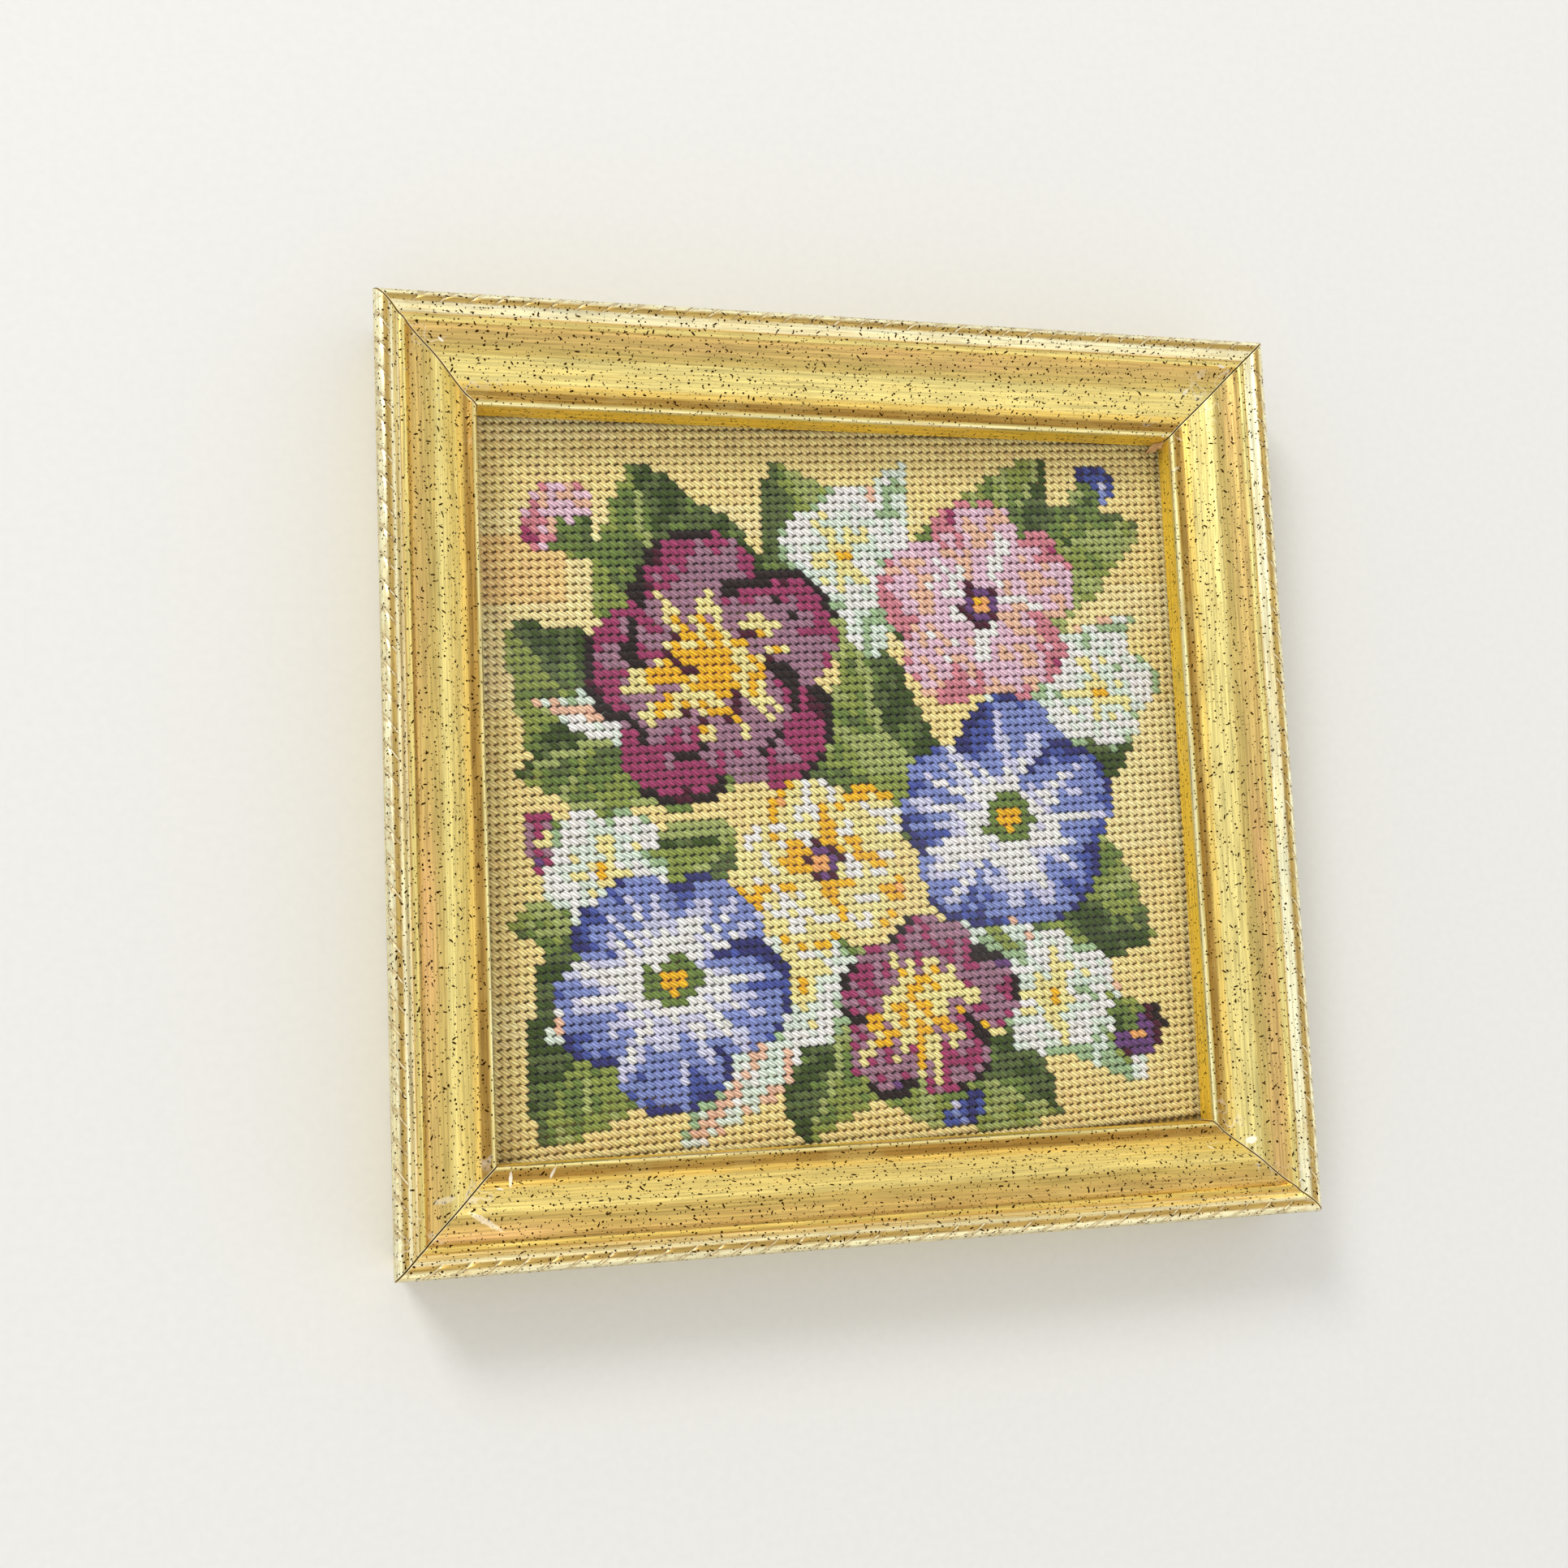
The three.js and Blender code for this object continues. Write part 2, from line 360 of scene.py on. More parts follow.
LEAVES = (  # base, tip, width and bend in stitches, palette, midrib, piece
    ((-8, 16), (-26, 42), 22, 5, "greens", "light_olive", GREEN),
    ((-4, 14), (-8, 42), 17, -4, "sunny_greens", "moss", GREEN),
    ((6, 20), (28, 42), 17, -4, "greens", "light_olive", GREEN),
    ((16, 14), (42, 33), 18, 5, "sunny_greens", "light_olive", GREEN),
    ((18, 2), (41, 12), 16, -3, "greens", "light_olive", GREEN),
    ((12, -12), (41, -22), 19, 4, "greens", "moss", GREEN),
    ((6, -18), (27, -43), 20, -5, "sunny_greens", "light_olive", GREEN),
    ((-2, -18), (-6, -43), 18, 3, "greens", "light_olive", GREEN),
    ((-12, -16), (-38, -40), 22, -5, "greens", "moss", GREEN),
    ((-14, -4), (-41, -14), 17, 5, "sunny_greens", "light_olive", GREEN),
    ((-12, 8), (-41, 22), 22, 6, "greens", "moss", GREEN),
    ((-12, 4), (-40, 4), 17, -4, "greens", "light_olive", GREEN),
    ((12, -3), (3, 21), 13, 3, "greens", "light_olive", GREEN),
    ((12, -6), (-6, 5), 11, -2, "sunny_greens", "moss", GREEN),
    ((4, 16), (9, 42), 9, 2, "mints", "sage", PALE),
    ((-16, -12), (-37, -28), 9, -2, "mints", "peach", PALE),
    ((14, -16), (39, -40), 13, 2, "mints", "moss", PALE),
    ((-6, -20), (-21, -42), 10, 2, "mints", "peach", PALE),
    ((18, 8), (40, 21), 10, -2, "mints", "sage", PALE),
    ((-14, 12), (-38, 13), 7, 2, "mints", "peach", PALE),
)

BUDS = (  # foot of the stem, foot and tip of the bud, palette, piece
    ((-12, 12), (-32, 32), (-38, 39), "pinks", PINK),
    ((20, 4), (34, 36), (37, 41), "night_blues", BLUE),
    ((-14, -6), (-33, -3), (-40, -5), "crimson_small", CRIMSON),
    ((14, -20), (13, -38), (15, -43), "night_blues", BLUE),
    ((20, -14), (36, -31), (41, -36), "plums", CRIMSON),
)

BLOOMS = (  # centre and radius in stitches, petals, first petal's angle, palette, heart, outline, piece
    ((1, 30), 9, 5, 15, "whites", "gold_heart", "sage", PALE),
    ((-30, -8), 8, 5, 50, "whites", "gold_heart", "sage", PALE),
    ((35, 11), 8, 5, 80, "whites", "gold_heart", "sage", PALE),
    ((27, -28), 8.5, 5, 30, "whites", "gold_heart", "sage", PALE),
    ((-6, -24), 8.5, 5, 0, "whites", "gold_heart", "sage", PALE),
    ((19, 23), 13.5, 5, 20, "pinks", "plum_heart", "rose", PINK),
    ((-22, -22), 15, 5, 54, "blues", "green_heart", "navy", BLUE),
    ((10, -28), 12, 5, 10, "crimson_small", "gold_heart", "black_brown", CRIMSON),
    ((22, -5), 15.5, 5, 90, "blues", "green_heart", "navy", BLUE),
    ((-16, 16), 17, 5, 100, "crimson_outer", None, "black_brown", CRIMSON),
    ((-16, 16), 12.5, 4, 40, "crimson_inner", None, "black_brown", CRIMSON),
    ((-15.5, 16), 7, 3, 10, "crimson_heart", None, "maroon", CRIMSON),
    ((-3, -9), 11.5, 5, 35, "yellows", "plum_heart", "gold", YELLOW),
)

# Stage, in metres
KEY_PLACE = (-1.5, 2.24, 2.04)  # of the key light, which looks at the panel
KEY_SIDE = 1.0
WINDOW = (0.35, -0.8, 0.0)  # which way the room's windows lie
ROOM_TINT = (1.0, 0.99, 0.97, 1.0)
FLOOR_HALF = 4.0
PAPER_TINTS = ((0.3, (0.858, 0.855, 0.843)), (0.7, (0.868, 0.865, 0.853)))


def linear(colour):
    """An sRGB colour as linear light."""
    return tuple(c / 12.92 if c <= 0.04045 else ((c + 0.055) / 1.055) ** 2.4 for c in colour)


# ---------------------------------------------------------------- settings


def number_property(name, description, default, low, high, **kind):
    """A number within limits; kind gives its subtype or unit where Blender has one for it."""
    return FloatProperty(name=name, description=description, default=default, min=low, max=high, **kind)


def vector_property(name, description, default, **kind):
    """A colour, place, turn or other row of numbers."""
    return FloatVectorProperty(name=name, description=description, default=default, size=len(default), **kind)


def colour_property(name, description, default):
    """A colour that is picked in the sidebar."""
    return vector_property(name, description, default, min=0.0, max=1.0, subtype="COLOR_GAMMA")


def yarn_property(yarn, colour):
    """The colour of one wool."""
    words = yarn.replace("_", " ")
    return colour_property(words.capitalize(), f"Colour of the {words} wool", colour)


class YarnColours(bpy.types.PropertyGroup):
    """The colour of every wool in the picture."""

    __annotations__ = {yarn: yarn_property(yarn, colour) for yarn, colour in YARNS.items()}


class StitchSettings(bpy.types.PropertyGroup):
    """Sizes of the stitches, in millimetres."""

    pitch: number_property("Pitch", "Distance in millimetres from hole to hole of the canvas", 2.54, 0.5, 6.0)
    wool_width: number_property("Wool width", "Width in millimetres of a stitch's wool", 2.38, 0.3, 5.0)
    wool_height: number_property("Wool height", "Thickness in millimetres of a stitch's wool", 1.3, 0.2, 3.0)
    unevenness: number_property(
        "Unevenness", "How much the stitches differ from each other", 1.0, 0.0, 3.0, subtype="FACTOR"
    )
    seed: IntProperty(
        name="Seed",
        description="Number that the handwork's small differences are drawn from",
        default=11,
        min=0,
    )


class RailSettings(bpy.types.PropertyGroup):
    """Sizes and colours of the gilt rails."""

    rope_pitch: number_property(
        "Rope pitch", "Distance in millimetres from notch to notch of the rope rim", STATIONS_PITCH, 2.0, 30.0
    )
    rope_depth: number_property("Rope depth", "Depth in millimetres of the rope's notches", 0.36, 0.0, 2.0)
    rope_lean: number_property(
        "Rope lean", "How far in millimetres a notch runs along as it crosses the rim", 6.6, -20.0, 20.0
    )
    gilding: colour_property("Gilding", "Colour of the gold leaf on the swelling", (0.96, 0.895, 0.58))
    rub: colour_property("Orange rub", "Colour of the warm wash along the upper bead", (0.97, 0.84, 0.46))


class StageSettings(bpy.types.PropertyGroup):
    """Camera and light of the studio."""

    camera_place: vector_property(
        "Camera place",
        "Where the camera stands",
        (-0.1276, -0.07235, 0.47364),
        subtype="TRANSLATION",
        unit="LENGTH",
    )
    camera_turn: vector_property(
        "Camera turn",
        "The camera's rotation",
        tuple(math.radians(angle) for angle in (5.6603, -13.6808, -2.6075)),
        subtype="EULER",
        unit="ROTATION",
    )
    lens: number_property(
        "Lens", "Focal length in millimetres on a sensor 36 mm wide", 37.776, 10.0, 200.0, unit="CAMERA"
    )
    shift: vector_property("Shift", "How far the picture is shifted, in sensor widths", (-0.0196, 0.0622))
    key_power: number_property(
        "Key light", "Power of the soft light from the upper left", 52.0, 0.0, 1000.0, unit="POWER"
    )
    room_light: number_property(
        "Room light", "Strength of the light from all round", 0.9, 0.0, 5.0, subtype="FACTOR"
    )


# ---------------------------------------------------------------- meshes


def mesh_piece(name, points, corners, starts, materials, smooth=True):
    """An object from arrays: points in metres, the faces' corners in one row, and where each face starts."""
    mesh = bpy.data.meshes.new(name)
    mesh.vertices.add(len(points))
    mesh.vertices.foreach_set("co", np.asarray(points, np.float32).ravel())
    mesh.loops.add(len(corners))
    mesh.loops.foreach_set("vertex_index", np.asarray(corners, np.int32))
    mesh.polygons.add(len(starts))
    mesh.polygons.foreach_set("loop_start", np.asarray(starts, np.int32))
    for material in materials:
        mesh.materials.append(material)
    mesh.update(calc_edges=True)
    if mesh.validate():
        raise RuntimeError(f"{name} has faces that Blender had to mend")
    mesh.polygons.foreach_set("use_smooth", np.full(len(starts), smooth))
    piece = bpy.data.objects.new(name, mesh)
    bpy.context.scene.collection.objects.link(piece)
    return piece


def face_rows(faces):
    """Faces of any number of corners as one row of corners and where each face starts."""
    sizes = np.array([len(face) for face in faces])
    corners = np.concatenate([np.asarray(face) for face in faces])
    return corners, np.concatenate([[0], np.cumsum(sizes)[:-1]])


def write_attribute(piece, name, kind, values):
    """Gives every point of the piece a number, vector or colour that its material reads."""
    field = {"FLOAT": "value", "FLOAT_VECTOR": "vector", "FLOAT_COLOR": "color"}[kind]
    attribute = piece.data.attributes.new(name, kind, "POINT")
    attribute.data.foreach_set(field, np.asarray(values, np.float32).ravel())


# ---------------------------------------------------------------- materials


class Shader:
    """A material or world under construction, with one short call for each node."""

    def __init__(self, holder, end="Principled BSDF"):
        holder.use_nodes = True
        self.holder = holder
        self.nodes = holder.node_tree.nodes
        self.links = holder.node_tree.links
        self.end = self.nodes[end]

    def finish(self, **sockets):
        """Feeds the last node and hands over the material or world."""
        self.feed(self.end, sockets)
        return self.holder

    def feed(self, node, sockets):
        """Sets or links a node's inputs, named as Blender names them or numbered."""
        for key, value in sockets.items():
            if isinstance(key, str):
                key = key.replace("_", " ")
            socket = node.inputs[key]
            if isinstance(value, bpy.types.NodeSocket):
                self.links.new(value, socket)
            else:
                socket.default_value = value

    def node(self, kind, sockets=None, **settings):
        """A new node of that kind."""
        made = self.nodes.new("ShaderNode" + kind)
        for key, value in settings.items():
            setattr(made, key, value)
        self.feed(made, sockets or {})
        return made

    def attribute(self, name, output="Vector"):
        """A socket of one of the mesh's attributes."""
        return self.node("Attribute", attribute_name=name).outputs[output]

    def place(self):
        """Where a point lies on its piece."""
        return self.node("TexCoord").outputs["Object"]

    def math(self, operation, first, second=0.0, clamp=False):
        """One sum on two numbers."""
        return self.node("Math", {0: first, 1: second}, operation=operation, use_clamp=clamp).outputs[0]

    def plus(self, first, second):
        """Two numbers added."""
        return self.math("ADD", first, second)

    def times(self, *numbers):
        """Two or more numbers multiplied."""
        return reduce(partial(self.math, "MULTIPLY"), numbers)

    def most(self, *numbers):
        """The highest of the numbers."""
        return reduce(partial(self.math, "MAXIMUM"), numbers)

    def vector(self, operation, first, second):
        """One sum on two vectors."""
        return self.node("VectorMath", {0: first, 1: second}, operation=operation).outputs[0]

    def length(self, vector):
        """A vector's length."""
        return self.node("VectorMath", {0: vector}, operation="LENGTH").outputs["Value"]

    def turned(self, vector, angle):
        """A vector turned about Z."""
        sockets = {"Vector": vector, "Angle": angle}
        return self.node("VectorRotate", sockets, rotation_type="Z_AXIS").outputs[0]

    def noise(self, vector, scale, detail=2.0, roughness=0.5):
        """Soft noise from 0 to 1."""
        sockets = {"Vector": vector, "Scale": scale, "Detail": detail, "Roughness": roughness}
        return self.node("TexNoise", sockets).outputs["Fac"]

    def streaks(self, place, along, across, detail=2.0, roughness=0.5):
        """Noise drawn out along X, with so many lumps to the metre along it and across it."""
        return self.noise(self.vector("MULTIPLY", place, (along, across, across)), 1.0, detail, roughness)

    def between(self, value, low, high, to_low=0.0, to_high=1.0):
        """A number carried from one range to another, and held there."""
        sockets = {"Value": value, "From Min": low, "From Max": high, "To Min": to_low, "To Max": to_high}
        return self.node("MapRange", sockets).outputs[0]

    def along(self, distance, span, to_low=0.0, to_high=1.0):
        """The same for a distance, over a span in millimetres."""
        low, high = span
        return self.between(distance, low * MM, high * MM, to_low, to_high)

    def paint(self, under, share, colour, blend="MIX"):
        """An sRGB colour laid over another in some share."""
        made = self.node("Mix", {0: share, 6: under, 7: opaque(colour)}, data_type="RGBA", blend_type=blend)
        return made.outputs[2]

    def shaded(self, colour, shade, brightest=1.0):
        """A colour made lighter or darker, but no lighter than the brightest."""
        lit = self.node("VectorMath", {0: colour, 3: shade}, operation="SCALE").outputs[0]
        return self.vector("MINIMUM", lit, (brightest, brightest, brightest))

    def ramp(self, value, stops):
        """A colour picked from a ramp of (place, sRGB colour) stops."""
        made = self.node("ValToRGB", {"Fac": value})
        elements = made.color_ramp.elements
        while len(elements) < len(stops):
            elements.new(0.5)
        for element, (place, colour) in zip(elements, stops):
            element.position = place
            element.color = opaque(colour)
        return made.outputs["Color"]

    def bump(self, height, distance, strength, **normal):
        """A bumped normal, over another one if it is given."""
        sockets = {"Height": height, "Distance": distance, "Strength": strength, **normal}
        return self.node("Bump", sockets).outputs[0]


def new_material(name):
    """A shader for a new material."""
    return Shader(bpy.data.materials.new(name))


def opaque(colour):
    """An sRGB colour as a linear one with full alpha."""
    return (*linear(colour), 1.0)


def speck_mask(shader, place, cell, dash, width, share):
    """Spots and short dashes thrown on at random, one at most to a cell; 1 on a speck."""
    vector = shader.vector("MULTIPLY", place, (1 / (cell * MM), 1 / (cell * MM), 0.0))
    cells = shader.node("TexVoronoi", {"Vector": vector, "Scale": 1.0}, voronoi_dimensions="2D")
    offset = shader.vector("SUBTRACT", vector, cells.outputs["Position"])
    chance = shader.node("SeparateColor", {"Color": cells.outputs["Color"]})
    turned = shader.turned(offset, shader.times(chance.outputs[0], 2 * math.pi))
    size = shader.between(chance.outputs[1], 0.0, 1.0, 0.42, 1.1)
    stretched = shader.vector("MULTIPLY", turned, (cell / dash, cell / width, 0.0))
    ragged = shader.plus(shader.length(stretched), shader.times(shader.noise(vector, 6.0), 0.4))
    spot = shader.between(shader.math("DIVIDE", ragged, size), 1.0, 1.25, 1.0, 0.0)
    return shader.times(spot, shader.math("LESS_THAN", chance.outputs[2], share))


def worn_spots(shader):
    """Chips and wipes at set places on the face, with ragged edges; each mark's strength where it lies."""
    face = shader.place()
    ragged = shader.times(shader.noise(face, 900.0), 0.9)
    marks = []
    for across, up, half_length, half_width, turn, strength in WORN_SPOTS:
        offset = shader.vector("SUBTRACT", face, (across * MM, up * MM, 0.0))
        turned = shader.turned(offset, -math.radians(turn))
        stretched = shader.vector("MULTIPLY", turned, (1 / (half_length * MM), 1 / (half_width * MM), 0.0))
        marks.append(shader.between(shader.plus(shader.length(stretched), ragged), 1.2, 1.6, strength, 0.0))
    return shader.most(*marks)


def leaf_tint(shader, settings, place, out, strands):
    """The leaf's colour: bands along the moulding, some of them painted highlight and shade, under a warm
    painted reflection that differs from rail to rail; then a warm wash, clouds and streaks.
    """
    tints = {**BAND_TINTS, "gilding": settings.gilding, "rub": settings.rub}
    span = RAIL_WIDTH + WALL_DEPTH
    stops = [((at + WALL_DEPTH) / span, tints[name]) for name, *places in RAIL_BANDS for at in places]
    tint = shader.ramp(shader.along(out, (-WALL_DEPTH, RAIL_WIDTH)), stops)
    # Painted reflection: each rail warmed by its own share, most on the bead, less on the face and least on
    # the rope.
    face = shader.along(out, WARMTH_FULL, 0.42, 1.0)
    rope = shader.along(out, WARMTH_FADE, 1.0, 0.25)
    warm = shader.times(face, rope, shader.attribute("rail_painted_warmth", "Fac"))
    tint = shader.paint(tint, warm, WARM_REFLECTION_TINT, "MULTIPLY")
    wash = shader.streaks(place, 16.0, 240.0)
    tint = shader.paint(tint, shader.between(wash, 0.52, 0.75, 0.0, 0.4), settings.rub)
    clouds = shader.noise(place, 70.0, 3.0)
    tint = shader.paint(tint, shader.between(clouds, 0.52, 0.75, 0.0, 0.45), BAND_TINTS["olive"])
    cove = shader.times(shader.along(out, COVE_START), shader.along(out, COVE_END, 1.0, 0.0))
    blush = shader.between(shader.streaks(place, 14.0, 60.0), 0.5, 0.66, 0.0, 0.6)
    tint = shader.paint(tint, shader.times(cove, blush), BLUSH)
    bands = shader.between(shader.streaks(place, 9.0, 850.0), 0.36, 0.64, 0.89, 1.07)
    return shader.shaded(tint, shader.times(bands, shader.between(strands, 0.38, 0.62, 0.75, 1.1)))


def rope_marks(shader, tint, place, out):
    """Painted shade in blotches on the rope, and along each notch a painted highlight between flanks of
    painted shade.
    """
    rope_mottle = shader.noise(place, 420.0)
    on_rope = shader.times(shader.along(out, ROPE_START), shader.along(out, ROPE_END, 1.0, 0.3))
    tint = shader.paint(tint, shader.times(on_rope, shader.between(rope_mottle, 0.5, 0.66, 0.0, 0.4)), ROPE_LOBE_SHADE)
    ragged = shader.times(shader.noise(place, 1500.0), 0.5 * MM)
    from_notch = shader.plus(shader.attribute("to_notch", "Fac"), ragged)
    tint = shader.paint(tint, shader.along(from_notch, NOTCH_SHADE_EDGE, 0.6, 0.0), NOTCH_SHADE)
    notch_highlight = shader.along(from_notch, NOTCH_HIGHLIGHT_EDGE, 1.0, 0.0)
    highlight_breakup = shader.between(rope_mottle, 0.42, 0.58, 0.15, 1.0)
    return shader.paint(tint, shader.times(notch_highlight, highlight_breakup), NOTCH_HIGHLIGHT)


def spatter(shader, place):
    """The dark specks: three sizes, each thrown on by itself."""
    layers = []
    for number, sizes in enumerate(SPECKS):
        shifted = shader.vector("ADD", place, tuple(number * step for step in SPECK_SHIFT))
        layers.append(speck_mask(shader, shifted, *sizes))
    return shader.most(*layers)


def corner_marks(shader, tint, place):
    """The open joint and its chipped edges; also gives the mask of smears, knocks and worn spots."""
    to_mitre = shader.attribute("to_mitre", "Fac")
    edge = shader.along(to_mitre, CHIP_EDGE, 0.74, 0.0)
    ragged = shader.plus(edge, shader.times(shader.noise(place, 900.0, 3.0), 0.6))
    tint = shader.paint(tint, shader.between(ragged, 0.8, 0.95, 0.0, 0.8), CHIP)
    tint = shader.paint(tint, shader.along(to_mitre, JOINT_EDGE, 0.85, 0.0), JOINT)
    near_corner = shader.along(to_mitre, CORNER_EDGE, 1.0, 0.0)
    veins = shader.math("ABSOLUTE", shader.math("SUBTRACT", shader.noise(place, 150.0, 1.5), 0.5))
    veins = shader.between(veins, 0.0, 0.025, 0.45, 0.0)
    smears = shader.times(veins, near_corner, shader.between(shader.noise(place, 85.0, 1.0), 0.5, 0.62))
    elsewhere = shader.vector("ADD", place, SCUFF_SHIFT)
    knocks = shader.times(speck_mask(shader, elsewhere, *SCUFFS), near_corner)
    return tint, shader.most(smears, knocks, worn_spots(shader))


def gilt_material(settings):
    """Bright metal leaf over warm bole: brushed along the rail, speckled, and rubbed on its edges."""
    shader = new_material("gilt_leaf")
    place = shader.attribute("rail_place")
    out = shader.attribute("rail_out", "Fac")
    strands = shader.streaks(place, 45.0, 1700.0, 3.0, 0.6)
    tint = leaf_tint(shader, settings, place, out, strands)
    tint = rope_marks(shader, tint, place, out)
    specks = spatter(shader, place)
    tint = shader.paint(tint, specks, SPECK)
    tint, scars = corner_marks(shader, tint, place)
    tint = shader.paint(tint, scars, SCAR)
    on_wall = shader.along(out, WALL_EDGE, 0.45, 0.0)
    dull = shader.most(scars, on_wall)
    brushed = shader.between(strands, 0.25, 0.75, 0.24, 0.38)
    rough = shader.plus(brushed, shader.times(shader.most(dull, specks), 0.3))
    relief = shader.bump(shader.plus(shader.times(strands, 0.6), shader.times(specks, 0.5)), 0.00005, 0.5)
    dents = shader.bump(shader.streaks(place, 60.0, 160.0), 0.0004, 0.35, Normal=relief)
    metal = shader.math("SUBTRACT", 1.0, dull, clamp=True)
    return shader.finish(Base_Color=tint, Metallic=metal, Roughness=rough, Normal=dents)


def wood_material():
    """Bare softwood on the back of the rails and in the rebate."""
    shader = new_material("bare_pine")
    place = shader.attribute("rail_place")
    grain = shader.streaks(place, 9.0, 420.0, 4.0, 0.6)
    rings = shader.between(shader.streaks(place, 3.0, 90.0), 0.4, 0.7, 0.0, 0.5)
    tint = shader.paint(shader.ramp(grain, PINE_GRAIN), rings, PINE_RINGS)
    return shader.finish(Base_Color=tint, Roughness=0.75, Normal=shader.bump(grain, 0.0002, 0.5))


def wool_material():
    """Plied tapestry wool: soft, a little hairy, its colour from the stitch together with the painted shade
    at each stitch's ends. Plies and hairs are painted lighter on their crests as highlight and darker between
    them as shade, over the wool's own mottling.
    """
    shader = new_material("tapestry_wool")
    place = shader.place()
    fibre = shader.noise(place, 5200.0, 2.0, 0.6)
    heather = shader.noise(place, 1300.0)
    strand = shader.attribute("strand")
    across = shader.node("SeparateXYZ", {0: strand}).outputs[0]
    ply = shader.math("COSINE", shader.times(across, 2 * math.pi / PLY_SPACING))
    hairs = shader.noise(shader.vector("MULTIPLY", strand, (6.0, 2.2, 37.0)), 1.0, 3.0, 0.6)
    # Painted highlight and shade: ply crests and hair streaks lighter, the grooves between plies darker;
    # fibre and heather are the wool's own mottling.
    shade = shader.times(
        shader.between(fibre, 0.25, 0.75, 0.92, 1.06),
        shader.between(heather, 0.3, 0.7, 0.93, 1.06),
        shader.between(ply, -1.0, 0.8, 0.54, 1.22),
        shader.between(hairs, 0.34, 0.66, 0.78, 1.3),
    )
    tint = shader.shaded(shader.attribute("yarn", "Color"), shade, 0.96)
    height = shader.plus(shader.times(ply, 0.4), shader.times(hairs, 1.2))
    normal = shader.bump(shader.plus(height, fibre), 0.00014, 0.7)
    sheen = {"Sheen_Weight": 0.25, "Sheen_Roughness": 0.5}
    return shader.finish(Base_Color=tint, Normal=normal, Roughness=0.88, Specular_IOR_Level=0.2, **sheen)


def canvas_material(pitch):
    """Stiff cotton canvas, its threads as far apart as the stitches, and the holes between them painted
    darker as shade.
    """
    shader = new_material("cotton_canvas")
    place = shader.place()
    waves = 1.0 / (pitch * MM)
    counted = shader.vector("MULTIPLY", shader.turned(place, -ROW_RISE), (waves, waves, 0.0))
    parts = shader.node("SeparateXYZ", {0: counted}).outputs
    threads = shader.most(*(shader.math("COSINE", shader.times(parts[axis], 2 * math.pi)) for axis in (0, 1)))
    fuzz = shader.noise(place, 2500.0, 3.0)
    # Painted shade: the holes between the threads darker.
    hole_shade = shader.between(threads, -0.6, 0.6, 0.35, 1.0)
    shade = shader.times(hole_shade, shader.between(fuzz, 0.3, 0.7, 0.9, 1.05))
    tint = shader.shaded(shader.attribute("canvas_tint_and_hole_shade", "Color"), shade)
    normal = shader.bump(shader.plus(threads, shader.times(fuzz, 0.2)), 0.0003, 0.7)
    return shader.finish(Base_Color=tint, Normal=normal, Roughness=0.9)


def glass_material():
    """Thin picture glass: a faint mirror with a little film wiped across it."""
    shader = new_material("picture_glass")
    mirror = shader.times(shader.node("Fresnel", {"IOR": 1.5}).outputs[0], 0.2)
    film = shader.noise(shader.vector("MULTIPLY", shader.place(), (7.0, 13.0, 1.0)), 1.0, 3.0)
    film = shader.between(film, 0.55, 0.8, 0.0, 0.06)
    outside = shader.math("SUBTRACT", 1.0, shader.node("NewGeometry").outputs["Backfacing"])
    alpha = shader.math("MULTIPLY", shader.plus(mirror, film), outside, clamp=True)
    return shader.finish(Base_Color=(1.0, 1.0, 1.0, 1.0), Metallic=1.0, Roughness=0.02, Alpha=alpha)


# ---------------------------------------------------------------- gilt rails


def smooth_run(points, step):
    """Points about one step apart on a smooth curve through the given ones, without the last."""
    points = np.asarray(points, float)
    padded = np.vstack([2 * points[0] - points[1], points, 2 * points[-1] - points[-2]])
    run = []
    for before, start, end, after in zip(padded, padded[1:], padded[2:], padded[3:]):
        count = max(1, round(float(np.linalg.norm(end - start)) / step))
        t = (np.arange(count) / count)[:, None]
        slope = end - before
        turn = 2 * before - 5 * start + 4 * end - after
        twist = 3 * start - before - 3 * end + after
        run.append(0.5 * (2 * start + slope * t + turn * t**2 + twist * t**3))
    return np.vstack(run)


def moulding_section():
    """The closed section as rows of (out, height), and the numbers of its first rope row and back row."""
    runs = []
    for outline, step in ((SWELLING_AND_COVE, PLAIN_STEP), (THIN_BEAD, PLAIN_STEP), (ROPE_RIM, ROPE_STEP)):
        runs.append(smooth_run([(out, SIGHT_EDGE + rise) for out, rise in outline], step))
    rope_start = len(runs[0]) + len(runs[1])
    back_start = rope_start + len(runs[2]) + 1
    arris = (ROPE_RIM[-1][0], SIGHT_EDGE + ROPE_RIM[-1][1])
    return np.vstack([*runs, arris, BACK_OUTLINE]), rope_start, back_start


def half_length(out):
    """Half of the rail's length along the line this far out."""
    return SIGHT_HALF + out - MITRE_GAP / 2 * math.sqrt(2)


def rope_columns(settings, rng):
    """Columns along the rope's middle: rows of place, distance to the nearest notch and its strength."""
    reach = half_length(ROPE_MIDDLE)
    notches = int(2 * reach / settings.rope_pitch) - 1
    columns = []
    for notch in range(notches):
        centre = (notch - (notches - 1) / 2) * settings.rope_pitch + rng.normal(0, NOTCH_STRAY)
        strength = rng.uniform(*NOTCH_STRENGTHS)
        for offset in NOTCH_STATIONS:
            columns.append((centre + offset * settings.rope_pitch / STATIONS_PITCH, abs(offset), strength))
    spare = PLAIN_COLUMNS * ROPE_COLUMNS_EACH + 1 - len(columns)
    ends = spare // 2
    first = [(at, NOTCH_FAR, 0.0) for at in np.linspace(-reach, columns[0][0], ends + 1)[:-1]]
    last = [(at, NOTCH_FAR, 0.0) for at in np.linspace(columns[-1][0], reach, spare - ends + 1)[1:]]
    return np.array([*first, *columns, *last]).T


